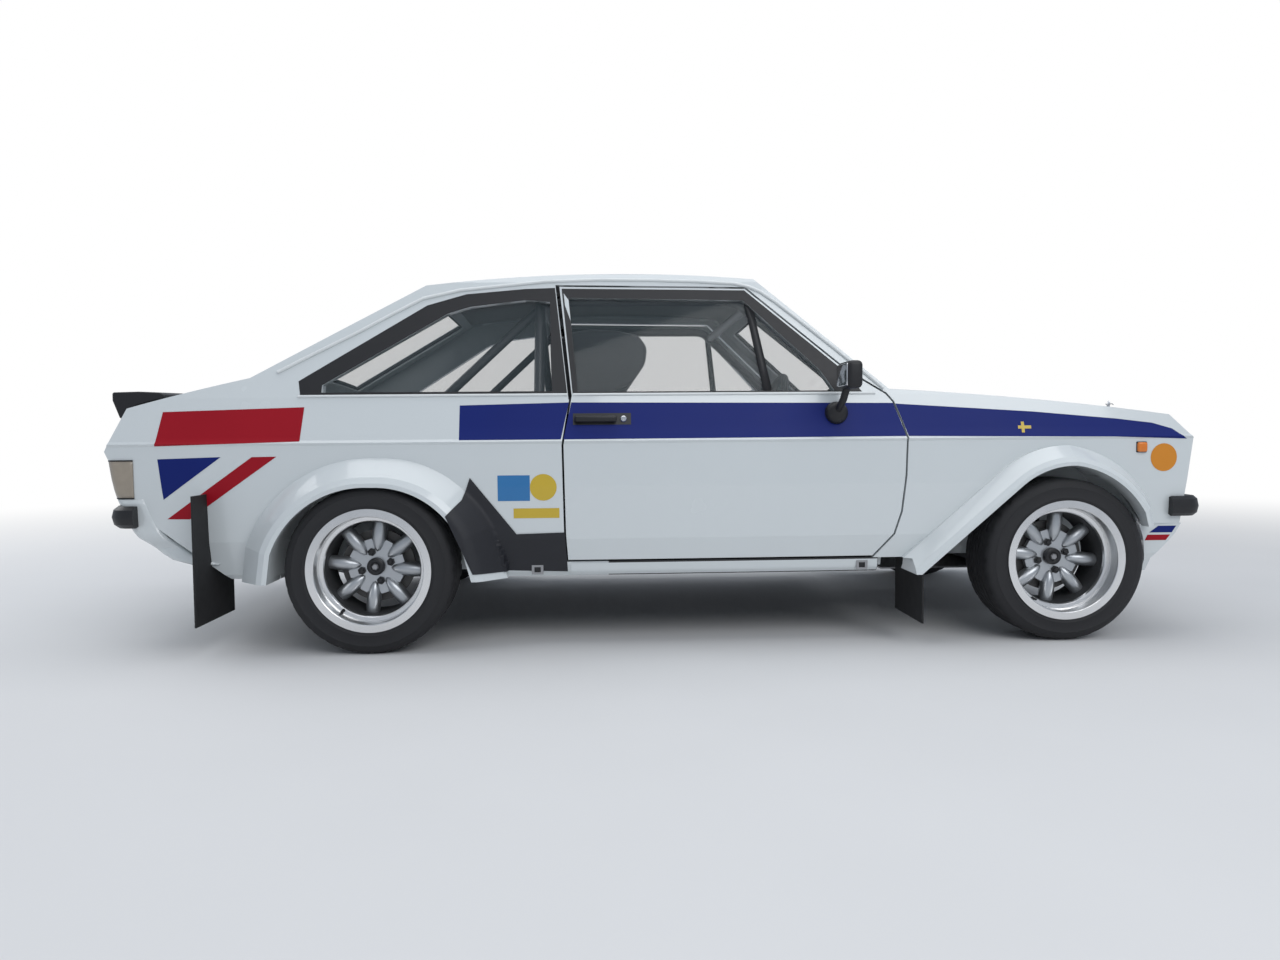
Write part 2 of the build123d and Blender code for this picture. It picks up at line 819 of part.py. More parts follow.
leaf = joined(
    prism(leaf_outline, spring_y - spring_half_width, spring_y + spring_half_width),
    block(-1890, -1850, spring_y - 20, spring_y + 20, 290, 483.7),
    block(-2965, -2930, spring_y - 20, spring_y + 20, 320, 399.7),
)
leaf = less(leaf, floor_pan)
finish("leaf_springs", joined(leaf, other_side(leaf)))
gearbox_end = -1130.0
finish("propshaft", disc_x(rear_axle + 120.3, gearbox_end - 0.3, 0, wheel_centre_z, 32))

# Engine and gearbox, as plain blocks of their real size
engine = joined(
    block(-560, 20, -150, 150, 300, 760),
    block(-900, -560, -110, 110, 200, 375),
    disc_x(gearbox_end, -900, 0, wheel_centre_z, 55),
)
finish("engine", engine)
finish("radiator", block(380, 419.7, -250, 250, nose_foot_z + 4, 690))

# Front crossmember with the track control arms


def on_steer_axis(start, end, radius):
    """A cylinder about the steering axis, from the ball joint upwards."""
    with BuildPart() as body:
        with BuildSketch(Plane(origin=axis_a + steer_axis * start, z_dir=steer_axis)):
            Circle(radius)
        extrude(amount=end - start)
    return body.part


pin_radius = 18.0
eye = on_steer_axis(8, 38, 27)
arm = tube((0, 420, 225), (ball_joint[0], ball_joint[1] - 14, ball_joint[2] + 22), 15)
arm = less(joined(arm, eye), on_steer_axis(-20, 60, pin_radius + running_gap))
cross = joined(block(-70, 70, -440, 440, 196, 261.7), arm, other_side(arm))
finish("front_crossmember", largest(cross))
finish("sump_guard", block(-480, 440, -260, 260, 178, 184))

# Exhaust, along the left of the shaft to the tail
exhaust_points = [(-420, 190, 212), (-1960, 190, 212), (-2120, 190, 400), (-2590, 190, 400), (-2850, 190, 250), (-3190, 190, 250)]
exhaust = bent_tube(exhaust_points, 27, 60)
finish("exhaust", exhaust)

# Mud flaps
flap_rear = joined(block(-2973, -2967, 545, 862, 107, 300), block(-2973, -2967, 700, 862, 290, 545))
flap_front = block(-521, -515, 560, 846, 76, 420)
flap_rear = largest(less(flap_rear, quarter_left, rear_panel, room))
flap_front = largest(less(flap_front, wing_left, floor_pan))
finish("mud_flaps", joined(flap_rear, flap_front, other_side(flap_rear), other_side(flap_front)))

# Cabin: seats, dashboard, steering wheel and roll cage
driver_side = -1
seat_y = 362.0
seat_shell = joined(
    block(-1560, -1080, -185, 185, 262.3, 300),
    block(-1600, -1090, -190, 190, 300, 430),
    prism([(-1520, 420), (-1640, 440), (-1790, 1090), (-1700, 1100)], -188, 188),
)
finish("seats", joined(seat_shell.moved(Location((0, seat_y, 0))), seat_shell.moved(Location((0, -seat_y, 0)))))
dash = cut_to(prism([(bulkhead_x - 0.3, 700), (bulkhead_x - 0.3, 868), (-800, 850), (-860, 800), (-840, 700)], -760, 760), less(room, door_room, other_side(door_room)))
dash = cut_to(dash, block(-900, -600, -690, 690, 600, 900))
column_a, column_b = (-840.0, driver_side * seat_y, 745.0), (-960.0, driver_side * seat_y, 790.0)
column = tube(column_a, column_b, 22)
column_vector = Vector(column_b[0] - column_a[0], 0, column_b[2] - column_a[2]).normalized()
wheel_bore = 12 + running_gap
dash = joined(dash, column)
wheel_at = Vector(station(column_b[0]), column_b[1], column_b[2])
with BuildPart() as spigot:
    with BuildSketch(Plane(origin=wheel_at, x_dir=(0, 1, 0), z_dir=column_vector)):
        Circle(12)
    extrude(amount=24)
finish("dashboard", joined(dash, spigot.part))
with BuildPart() as steering_wheel:
    with BuildSketch(Plane(origin=wheel_at + column_vector * 0.3, x_dir=(0, 1, 0), z_dir=column_vector)):
        Circle(40)
        Circle(wheel_bore, mode=Mode.SUBTRACT)
    extrude(amount=22)
    with BuildSketch(Plane(origin=wheel_at + column_vector * 6, x_dir=(0, 1, 0), z_dir=column_vector)):
        with PolarLocations(0, 3, start_angle=90):
            Polygon((36, -14), (165, -14), (165, 14), (36, 14), align=None)
    extrude(amount=5)
    with Locations(Plane(origin=wheel_at + column_vector * 9, x_dir=(0, 1, 0), z_dir=column_vector)):
        Torus(172, 15)
finish("steering_wheel", steering_wheel.part)

cage_bar, brace_bar = 19.0, 17.0
cage_bend = 80.0
hoop_x, screen_x, rail_y, rail_z = -1840.0, -1120.0, 520.0, 1240.0
post_x, foot_y, waist_y, waist_z = -700.0, 640.0, 650.0, 860.0
cage_foot_z = 262 + seat_gap
half_hoop = [(hoop_x, foot_y, cage_foot_z), (hoop_x, waist_y, waist_z), (hoop_x, rail_y - 20, rail_z + 12)]
hoop = bent_tube(half_hoop + [(x, -y, z) for x, y, z in reversed(half_hoop)], cage_bar, cage_bend)
side_rail = bent_tube(
    [(hoop_x, rail_y, rail_z - 12), (screen_x, rail_y, rail_z - 12), (post_x, waist_y, waist_z), (post_x, foot_y, cage_foot_z)],
    cage_bar,
    cage_bend,
)
stay_foot = (-2560.0, 500.0, 500 + seat_gap)
braces = joined(
    tube((hoop_x, rail_y - 30, rail_z - 30), (stay_foot[0], stay_foot[1], stay_foot[2] + 45), brace_bar),
    tube(stay_foot, (stay_foot[0], stay_foot[1], stay_foot[2] + 60), brace_bar + 7),
    tube((hoop_x, foot_y + 6, 480), (post_x, foot_y + 4, 620), brace_bar),
)
cage = joined(
    hoop,
    side_rail,
    other_side(side_rail),
    braces,
    other_side(braces),
    tube((screen_x + 40, -rail_y - 10, rail_z - 40), (screen_x + 40, rail_y + 10, rail_z - 40), brace_bar),
    tube((hoop_x, 30 - rail_y, rail_z - 40), (hoop_x, waist_y, waist_z - 300), brace_bar - 2),
)
finish("roll_cage", cage)
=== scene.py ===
"""Looks of the two-door rally saloon: paint, livery, glass, trim, wheels, seats and small parts.

Metres. +X is forward, +Y the car's left, +Z up. Places along the car are given from the front
axle, as in the part's source, and at() turns them into the car's own X.
"""

from math import atan2, cos, exp, pi, radians, sin, sqrt

import bmesh
import bpy
from mathutils import Matrix, Vector
from mathutils.bvhtree import BVHTree


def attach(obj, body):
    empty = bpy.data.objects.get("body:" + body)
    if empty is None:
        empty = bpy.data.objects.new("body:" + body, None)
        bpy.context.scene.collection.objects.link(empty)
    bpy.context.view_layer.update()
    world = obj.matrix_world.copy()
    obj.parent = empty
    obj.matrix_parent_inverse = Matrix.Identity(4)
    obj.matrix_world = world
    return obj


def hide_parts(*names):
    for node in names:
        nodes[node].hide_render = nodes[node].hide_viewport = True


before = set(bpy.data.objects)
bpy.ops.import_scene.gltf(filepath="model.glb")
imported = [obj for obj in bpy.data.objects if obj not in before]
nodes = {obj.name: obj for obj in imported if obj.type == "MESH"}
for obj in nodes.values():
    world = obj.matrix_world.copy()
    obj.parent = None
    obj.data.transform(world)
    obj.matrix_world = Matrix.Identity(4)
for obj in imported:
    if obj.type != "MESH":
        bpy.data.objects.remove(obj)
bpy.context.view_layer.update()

# The car's own sizes, as in the part's source
WHEELBASE = 2.407
FRONT_OVERHANG, REAR_OVERHANG = 0.545, 0.958
AXLE_X = (WHEELBASE + REAR_OVERHANG - FRONT_OVERHANG) / 2
WHEEL_Z = 0.286
TRACK_HALF = {"front": 0.722, "rear": 0.736}
AXLES = {"front": 0.0, "rear": -WHEELBASE}
SIDES = {"left": 1, "right": -1}
# Heights at which the sides' surfaces meet
SIDE_BREAKS = (0.262, 0.378, 0.560, 0.707, 0.716, 0.725, 0.872)
DRIVER = SIDES["right"]
SEAT_Y = 0.362
BELT_Z = 0.8765
# Steering axis of the left front wheel, from its foot to its head: place, half width, height
STRUT_FOOT, STRUT_HEAD = (0.0, 0.640, 0.190), (-0.030, 0.500, 0.800)


def at(x, y, z):
    """A point from its place along the car, its half width and its height."""
    return Vector((AXLE_X + x, y, z))


# Materials

def shader_node(tree, kind, values=None, **settings):
    """A new shader node, with its settings and the values of its inputs."""
    node = tree.nodes.new("ShaderNode" + kind)
    for key, value in settings.items():
        setattr(node, key, value)
    for key, value in (values or {}).items():
        node.inputs[key].default_value = value
    return node


def shader_base(name, values):
    """A new material with its node tree and its main shader."""
    m = bpy.data.materials.new(name)
    m.use_nodes = True
    shader = m.node_tree.nodes["Principled BSDF"]
    for key, value in values.items():
        shader.inputs[key].default_value = value
    return m, m.node_tree, shader


def paint(
    name, color, rough=0.5, metal=0.0, coat=0.0, vary=0.04, scale=40.0, bump=0.0, grain=400.0, spec=0.5,
    sheen=0.0,
):
    """A surface with a little colour and gloss variation and a fine relief."""
    m, tree, shader = shader_base(name, {
        "Metallic": metal, "Roughness": rough, "Coat Weight": coat, "Coat Roughness": 0.06,
        "Specular IOR Level": spec, "Sheen Weight": sheen,
    })
    link = tree.links.new
    coords = shader_node(tree, "TexCoord")
    noise = shader_node(tree, "TexNoise", {"Scale": scale, "Detail": 4.0})
    link(coords.outputs["Object"], noise.inputs["Vector"])
    low = [max(0.0, c * (1 - vary)) for c in color]
    high = [min(1.0, c * (1 + vary)) for c in color]
    tones = shader_node(tree, "Mix", {"A": (*low, 1), "B": (*high, 1)}, data_type="RGBA")
    link(noise.outputs["Fac"], tones.inputs["Factor"])
    link(tones.outputs["Result"], shader.inputs["Base Color"])
    smoothest, roughest = max(0.02, rough * 0.85), min(1.0, rough * 1.15)
    gloss = shader_node(tree, "MapRange", {"To Min": smoothest, "To Max": roughest})
    link(noise.outputs["Fac"], gloss.inputs["Value"])
    link(gloss.outputs["Result"], shader.inputs["Roughness"])
    if bump:
        fine = shader_node(tree, "TexNoise", {"Scale": grain, "Detail": 3.0})
        link(coords.outputs["Object"], fine.inputs["Vector"])
        relief = shader_node(tree, "Bump", {"Strength": bump, "Distance": 0.001})
        link(fine.outputs["Fac"], relief.inputs["Height"])
        link(relief.outputs["Normal"], shader.inputs["Normal"])
    return m


def glass(name, color, rough=0.0, alpha=0.25):
    """Clear or tinted glass that lets straight light through."""
    m, tree, shader = shader_base(name, {
        "Base Color": (*color, 1), "Roughness": 0.03 + rough, "Alpha": alpha, "IOR": 1.45, "Coat Weight": 0.6,
    })
    coords = shader_node(tree, "TexCoord")
    film = shader_node(tree, "TexNoise", {"Scale": 6.0})
    tree.links.new(coords.outputs["Object"], film.inputs["Vector"])
    haze = shader_node(tree, "MapRange", {"To Min": 0.02 + rough, "To Max": 0.06 + rough})
    tree.links.new(film.outputs["Fac"], haze.inputs["Value"])
    tree.links.new(haze.outputs["Result"], shader.inputs["Roughness"])
    return m


def cloth(name, color, scale=900.0):
    """Woven cloth, with its threads as relief."""
    m = paint(name, color, 0.85, vary=0.12, scale=60, sheen=0.35)
    tree = m.node_tree
    link = tree.links.new
    coords = shader_node(tree, "TexCoord")
    both = shader_node(tree, "Math", operation="MULTIPLY")
    for k, turn in enumerate((0.0, pi / 2)):
        mapping = shader_node(tree, "Mapping", {"Rotation": (0.3, 0.2, turn)})
        wave = shader_node(tree, "TexWave", {"Scale": scale / 4, "Distortion": 1.5})
        link(coords.outputs["Object"], mapping.inputs["Vector"])
        link(mapping.outputs["Vector"], wave.inputs["Vector"])
        link(wave.outputs["Fac"], both.inputs[k])
    relief = shader_node(tree, "Bump", {"Strength": 0.35, "Distance": 0.0008})
    link(both.outputs["Value"], relief.inputs["Height"])
    link(relief.outputs["Normal"], tree.nodes["Principled BSDF"].inputs["Normal"])
    return m


WHITE = paint("body_white", (0.66, 0.70, 0.71), 0.26, coat=0.8, vary=0.012, scale=3.0, bump=0.012, grain=900)
BLUE = paint("stripe_blue", (0.003, 0.014, 0.150), vary=0.05, scale=6.0, bump=0.02, grain=700, spec=0.22)
RED = paint("block_red", (0.34, 0.004, 0.014), vary=0.05, scale=6.0, bump=0.02, grain=700, spec=0.22)
PALE_BLUE = paint("patch_blue", (0.02, 0.17, 0.42), 0.4, coat=0.3, scale=12.0)
YELLOW = paint("patch_yellow", (0.60, 0.42, 0.03), 0.4, coat=0.3, scale=12.0)
AMBER = paint("patch_amber", (0.66, 0.24, 0.01), 0.4, coat=0.3, scale=12.0)
SATIN_BLACK = paint("satin_black", (0.012, 0.012, 0.014), 0.42, vary=0.15, bump=0.05, grain=600)
TRIM_BLACK = paint("trim_black", (0.010, 0.010, 0.012), 0.5, vary=0.2, bump=0.1, grain=300)
GUARD_BLACK = paint("guard_black", (0.012, 0.013, 0.018), 0.55, vary=0.25, scale=60, bump=0.25, grain=500)
RUBBER = paint("rubber", (0.012, 0.012, 0.013), 0.72, vary=0.25, scale=25, bump=0.2, grain=250)
TYRE = paint("tyre_rubber", (0.014, 0.014, 0.016), 0.68, vary=0.3, scale=18, bump=0.3, grain=220)
UNDER = paint("underbody", (0.05, 0.05, 0.052), 0.75, vary=0.35, scale=9, bump=0.5, grain=90)
ALLOY = paint("wheel_alloy", (0.50, 0.52, 0.54), 0.34, metal=0.85, vary=0.06, scale=35, bump=0.08, grain=900)
LIP = paint("wheel_lip", (0.80, 0.80, 0.80), 0.24, metal=0.9, vary=0.05, scale=30, bump=0.03, grain=500)
CHROME = paint("chrome", (0.78, 0.78, 0.79), 0.12, metal=1.0, vary=0.03)
STEEL = paint("steel", (0.36, 0.36, 0.37), 0.42, metal=0.85, vary=0.15, scale=25, bump=0.2, grain=160)
IRON = paint("cast_iron", (0.16, 0.155, 0.15), 0.6, metal=0.5, vary=0.2, scale=25, bump=0.5, grain=180)
# Near-black coat for the liner inside the wheel barrels: painted shade inside the wheels
BARREL_SHADE = paint("barrel_painted_shade", (0.045, 0.046, 0.048), 0.6, metal=0.4, vary=0.2, scale=25, bump=0.2, grain=180)
CABIN = paint("cabin_grey", (0.035, 0.036, 0.038), 0.7, vary=0.15, scale=18, bump=0.2, grain=200)
CAGE = paint("cage_paint", (0.05, 0.05, 0.055), 0.38, coat=0.3, vary=0.1, scale=20)
RAIL_WHITE = paint("rail_white", (0.74, 0.77, 0.77), 0.3, coat=0.4, vary=0.03, scale=25)
PLATE_WHITE = paint("plate_white", (0.66, 0.67, 0.66), 0.35, coat=0.3, vary=0.05, scale=30)
SPRING_RED = paint("spring_red", (0.30, 0.02, 0.02), 0.4, coat=0.3, vary=0.1)
CLEAR = glass("window_glass", (0.10, 0.13, 0.14), alpha=0.16)
LAMP_GLASS = glass("lamp_glass", (0.80, 0.84, 0.86), rough=0.06, alpha=0.42)
LENS_BEIGE = paint("tail_lens", (0.34, 0.29, 0.23), 0.35, coat=0.6, vary=0.12, bump=0.25, grain=120)
LENS_AMBER = paint(
    "repeater_lens", (0.75, 0.20, 0.015), 0.25, coat=0.6, vary=0.1, scale=60, bump=0.2, grain=150
)
SEAT_CLOTH = cloth("seat_cloth", (0.022, 0.023, 0.027))
LINING = cloth("roof_lining", (0.020, 0.020, 0.022), 500.0)
SEAT_PAD = cloth("seat_pad", (0.034, 0.036, 0.042), 700.0)

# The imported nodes' own finishes
wheel_names = [f"{end}_{side}" for end in AXLES for side in SIDES]
node_finishes = {
    WHITE: [
        "quarter_left", "quarter_right", "wing_left", "wing_right", "roof", "front_panel", "rear_panel",
        "front_spoiler", "door_left", "door_right", "bonnet", "boot_lid", "engine_bay",
    ],
    UNDER: ["floor_pan"],
    TRIM_BLACK: ["grille", "mirror_left", "mirror_right", "rear_spoiler", "dashboard", "steering_wheel"],
    SATIN_BLACK: ["bumpers", "radiator", "front_crossmember", "rear_axle", "strut_left", "strut_right"],
    RUBBER: ["mud_flaps"],
    STEEL: ["sump_guard", "leaf_springs", "propshaft", "exhaust"],
    IRON: ["engine"] + [f"brake_disc_{wheel}" for wheel in wheel_names],
    CAGE: ["roll_cage"],
    CLEAR: ["fixed_glass", "door_glass_left", "door_glass_right"],
    LAMP_GLASS: ["headlamps"],
    LENS_BEIGE: ["tail_lamps"],
    ALLOY: [f"rim_{wheel}" for wheel in wheel_names],
    TYRE: [f"tyre_{wheel}" for wheel in wheel_names],
    SEAT_CLOTH: ["seats"],
}
for finish, names in node_finishes.items():
    for name in names:
        for slot in nodes[name].material_slots:
            slot.link = "OBJECT"
            slot.material = finish


def soften_edges(obj, width, angle):
    """Rounds an object's sharp edges."""
    bevel = obj.modifiers.new("soft_edge", "BEVEL")
    bevel.width = width
    bevel.segments = 2
    bevel.limit_method = "ANGLE"
    bevel.angle_limit = radians(angle)


edge_widths = {
    0.0025: ["door_left", "door_right"],
    0.003: ["quarter_left", "quarter_right", "wing_left", "wing_right", "front_panel", "rear_panel"],
    0.004: ["roof", "bonnet", "boot_lid"],
    0.005: ["front_spoiler"],
    0.006: ["bumpers", "rear_spoiler"],
}
for width, names in edge_widths.items():
    for name in names:
        soften_edges(nodes[name], width, 28)


# Mesh helpers

def new_piece(name, bm, material, body, slot, smooth=35, replaces=()):
    """Turns a bmesh into a piece that rides on a body."""
    mesh = bpy.data.meshes.new(name)
    bmesh.ops.recalc_face_normals(bm, faces=bm.faces)
    bm.to_mesh(mesh)
    bm.free()
    obj = bpy.data.objects.new(name, mesh)
    bpy.context.scene.collection.objects.link(obj)
    mesh.materials.append(material)
    for polygon in mesh.polygons:
        polygon.use_smooth = True
    mesh.set_sharp_from_angle(angle=radians(smooth))
    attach(obj, body)
    if replaces:
        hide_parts(*replaces)
    return obj


def join(bm, rings, around=True, caps=False):
    """Faces between rows of points, which may close round, and over the first and the last row."""
    for first, second in zip(rings, rings[1:]):
        for j in range(len(first) if around else len(first) - 1):
            k = (j + 1) % len(first)
            bm.faces.new((first[j], first[k], second[k], second[j]))
    if caps:
        bm.faces.new(rings[0])
        bm.faces.new(rings[-1])


def lathe(bm, profile, centre, axis, steps=64, closed=False):
    """Turns a profile of (radius, distance along the axis) about an axis through centre."""
    axis = Vector(axis).normalized()
    u = axis.orthogonal().normalized()
    v = axis.cross(u)
    rings = []
    for i in range(steps):
        angle = 2 * pi * i / steps
        out = u * cos(angle) + v * sin(angle)
        rings.append([bm.verts.new(centre + out * r + axis * w) for r, w in profile])
    join(bm, rings + rings[:1], around=closed)
    if not closed:
        for j in (0, -1):
            if profile[j][0] > 1e-6:
                bm.faces.new([ring[j] for ring in rings])
    return rings


def turned(name, profile, centre, axis, material, body, slot, steps=64, closed=False, **look):
    """A piece of one turned shape."""
    bm = bmesh.new()
    lathe(bm, profile, centre, axis, steps, closed)
    return new_piece(name, bm, material, body, slot, **look)


def rounded_box(bm, corner, opposite, radius=0.004, segments=2):
    """A box between two corners, with its edges rounded."""
    low = Vector([min(pair) for pair in zip(corner, opposite)])
    high = Vector([max(pair) for pair in zip(corner, opposite)])
    verts = bmesh.ops.create_cube(bm, size=1.0)["verts"]
    for v in verts:
        v.co = v.co * (high - low) + (high + low) / 2
    edges = {e for v in verts for e in v.link_edges}
    radius = min(radius, min(high - low) * 0.45)
    bmesh.ops.bevel(bm, geom=list(edges), offset=radius, segments=segments, profile=0.5, affect="EDGES")


def boxed(name, corner, opposite, radius, segments, material, body, slot, **look):
    """A piece of one rounded box."""
    bm = bmesh.new()
    rounded_box(bm, corner, opposite, radius, segments)
    return new_piece(name, bm, material, body, slot, **look)


def pipe(name, points, radius, material, body, steps=16, cyclic=False):
    """A round bar through points, smooth along its length."""
    curve = bpy.data.curves.new(name, "CURVE")
    curve.dimensions = "3D"
    curve.bevel_depth = radius
    curve.bevel_resolution = max(2, steps // 4)
    spline = curve.splines.new("POLY")
    spline.points.add(len(points) - 1)
    for p, q in zip(spline.points, points):
        p.co = (*q, 1)
    spline.use_cyclic_u = cyclic
    curve.use_fill_caps = True
    curve.materials.append(material)
    obj = bpy.data.objects.new(name, curve)
    bpy.context.scene.collection.objects.link(obj)
    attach(obj, body)


def thicken(obj, thickness):
    """Gives a sheet its thickness, half to each side."""
    solid = obj.modifiers.new("thickness", "SOLIDIFY")
    solid.thickness = thickness
    solid.offset = 0.0


# Outlines

def box_outline(x0, x1, z0, z1):
    """A four-sided outline."""
    return [(x0, z0), (x1, z0), (x1, z1), (x0, z1)]


def disc_outline(x, z, radius, steps=28):
    """A round outline."""
    angles = [2 * pi * k / steps for k in range(steps)]
    return [(x + radius * cos(a), z + radius * sin(a)) for a in angles]


def ring(outer, inner):
    """The band between two outlines with as many points, as four-sided outlines."""
    count = len(outer)
    return [[outer[k], outer[(k + 1) % count], inner[(k + 1) % count], inner[k]] for k in range(count)]


def walk(corners, counts):
    """Places round a closed outline, with a number of steps for each of its sides."""
    places = []
    for k, count in enumerate(counts):
        (a0, b0), (a1, b1) = corners[k], corners[(k + 1) % len(corners)]
        places += [(a0 + (a1 - a0) * j / count, b0 + (b1 - b0) * j / count) for j in range(count)]
    return places


def spread(first, last, count):
    """Evenly spaced numbers, with both ends."""
    return [first + (last - first) * k / (count - 1) for k in range(count)]


# Sheets that follow the body's surfaces

OUTSIDE = 1.5
SEAM = 0.014
trees = {}


def meet(node, start, way):
    """Where a line from a start meets a node's surface, and which way the surface faces there."""
    if node not in trees:
        bm = bmesh.new()
        bm.from_mesh(nodes[node].data)
        trees[node] = BVHTree.FromBMesh(bm)
        bm.free()
    hit, facing, _, _ = trees[node].ray_cast(Vector(start), Vector(way))
    return hit, facing


def surface_point(node, x, z, side, lift=0.0, inside=False):
    """Where a line across the car meets a node's side, from outside or from the middle."""
    start, way = (0.0, side) if inside else (side * OUTSIDE, -side)
    hit, _ = meet(node, (x, start, z), (0, way, 0))
    if not inside:
        for dx, dz in ((0.010, 0), (-0.010, 0), (0, 0.010), (0, -0.010)):
            beside, _ = meet(node, (x + dx, start, z + dz), (0, way, 0))
            if beside is not None and (hit is None or side * (beside.y - hit.y) > SEAM):
                hit = Vector((x, beside.y, z))
    if hit is None:
        near, _, _, _ = trees[node].find_nearest(Vector((x, side * 0.8, z)))
        hit = Vector((x, near.y, z))
    return hit + Vector((0, -way * lift, 0))


def side_skin(
    name, node, body, outlines, material, lift=0.0008, cell=0.05, slot="body_white", thick=0.0,
    inside=False,
):
    """A sheet on a body side, from outlines of (place, height). The name's end says which side."""
    side = -1 if name.endswith("right") else 1
    bm = bmesh.new()
    for outline in outlines:
        bm.faces.new([bm.verts.new(at(x, 0, z)) for x, z in outline])
    bmesh.ops.remove_doubles(bm, verts=bm.verts, dist=1e-5)
    xs = [v.co.x for v in bm.verts]
    zs = [v.co.z for v in bm.verts]
    levels = [min(zs) + k * cell for k in range(1, int((max(zs) - min(zs)) / cell) + 1)]
    levels += [z for z in SIDE_BREAKS if min(zs) < z < max(zs)]
    cuts = [((min(xs) + k * cell, 0, 0), (1, 0, 0)) for k in range(1, int((max(xs) - min(xs)) / cell) + 1)]
    cuts += [((0, 0, z), (0, 0, 1)) for z in levels]
    for point, normal in cuts:
        geom = list(bm.verts) + list(bm.edges) + list(bm.faces)
        bmesh.ops.bisect_plane(bm, geom=geom, plane_co=point, plane_no=normal, dist=1e-6)
    for v in bm.verts:
        v.co = surface_point(node, v.co.x, v.co.z, side, lift, inside)
    obj = new_piece(name, bm, material, body, slot, smooth=30)
    if thick:
        thicken(obj, thick)


# Livery
stripe_wing = [
    (-0.547, 0.724), (0.20, 0.716), (0.478, 0.706), (0.425, 0.743), (0.352, 0.764), (0.218, 0.780),
    (-0.089, 0.807), (-0.585, 0.838), (-0.563, 0.775),
]
stripe_door = [(-1.751, 0.722), (-0.556, 0.724), (-0.571, 0.775), (-0.594, 0.8405), (-1.724, 0.849)]
cross_bar = box_outline(-0.149, -0.101, 0.7465, 0.7575)
cross_post = box_outline(-0.137, -0.126, 0.7328, 0.7712)
livery = [
    # name, node, outline, material
    ("stripe_quarter", "quarter", [(-2.107, 0.722), (-1.760, 0.722), (-1.732, 0.849), (-2.107, 0.841)], BLUE),
    ("stripe_door", "door", stripe_door, BLUE),
    ("stripe_wing", "wing", stripe_wing, BLUE),
    ("red_block", "quarter", [(-3.138, 0.709), (-2.647, 0.722), (-2.638, 0.839), (-3.120, 0.826)], RED),
    ("blue_corner", "quarter", [(-3.114, 0.527), (-2.915, 0.671), (-3.130, 0.665)], BLUE),
    ("red_diagonal", "quarter", [(-3.105, 0.460), (-3.028, 0.459), (-2.726, 0.671), (-2.810, 0.670)], RED),
    ("patch_blue", "quarter", box_outline(-1.978, -1.868, 0.512, 0.600), PALE_BLUE),
    ("patch_bar", "quarter", box_outline(-1.925, -1.768, 0.452, 0.486), YELLOW),
    ("patch_disc", "quarter", disc_outline(-1.822, 0.558, 0.046), YELLOW),
    ("patch_front", "wing", disc_outline(0.392, 0.640, 0.050), AMBER),
    ("dam_blue", "front_spoiler", [(0.352, 0.368), (0.436, 0.368), (0.452, 0.392), (0.385, 0.392)], BLUE),
    ("dam_red", "front_spoiler", [(0.336, 0.340), (0.414, 0.340), (0.430, 0.360), (0.346, 0.360)], RED),
    ("cross_bar", "wing", cross_bar, YELLOW),
    ("cross_post", "wing", cross_post, YELLOW),
]
# Sheets that lie on another sheet stand a little higher
livery_lifts = {"cross_bar": 0.0014, "cross_post": 0.0016}
for side in SIDES:
    for name, node, outline, material in livery:
        host = node if node == "front_spoiler" else f"{node}_{side}"
        side_skin(
            f"{name}_{side}", host, f"door_{side}" if node == "door" else "body", [outline], material,
            lift=livery_lifts.get(name, 0.0008), cell=0.03 if material in (RED, AMBER) else 0.05,
        )

# Side windows: black surrounds, the bar of the front quarterlight, belt rails and drip rails
door_glass_edge = [(-1.700, 0.886), (-0.800, 0.886), (-0.845, 0.960), (-1.105, 1.218), (-1.734, 1.228)]
door_frame_edge = [(-1.719, 0.880), (-0.700, 0.880), (-0.752, 0.950), (-1.097, 1.256), (-1.758, 1.263)]
quarter_glass_edge = [
    (-2.583, 0.889), (-1.790, 0.889), (-1.800, 1.213), (-1.887, 1.220), (-2.081, 1.196), (-2.161, 1.171),
    (-2.583, 0.915),
]
quarter_frame_edge = [
    (-2.655, 0.880), (-1.738, 0.880), (-1.782, 1.266), (-1.890, 1.262), (-2.098, 1.243), (-2.235, 1.202),
    (-2.665, 0.930),
]
door_surround = ring(door_frame_edge, door_glass_edge)
quarter_surround = ring(quarter_frame_edge, quarter_glass_edge)
divider = [(-1.050, 0.888), (-1.020, 0.888), (-1.066, 1.174), (-1.098, 1.206)]
door_rail, roof_rail = (-1.717, -0.655), (-2.662, -1.737)
gutter_line = [
    (-0.622, 0.893), (-0.700, 0.964), (-0.795, 1.048), (-0.890, 1.131), (-0.985, 1.212), (-1.040, 1.252),
    (-1.080, 1.270), (-1.130, 1.282), (-1.260, 1.290), (-1.440, 1.295), (-1.620, 1.297), (-1.820, 1.290),
    (-2.120, 1.258), (-2.250, 1.228), (-2.350, 1.174), (-2.480, 1.100), (-2.620, 1.027), (-2.740, 0.962),
]
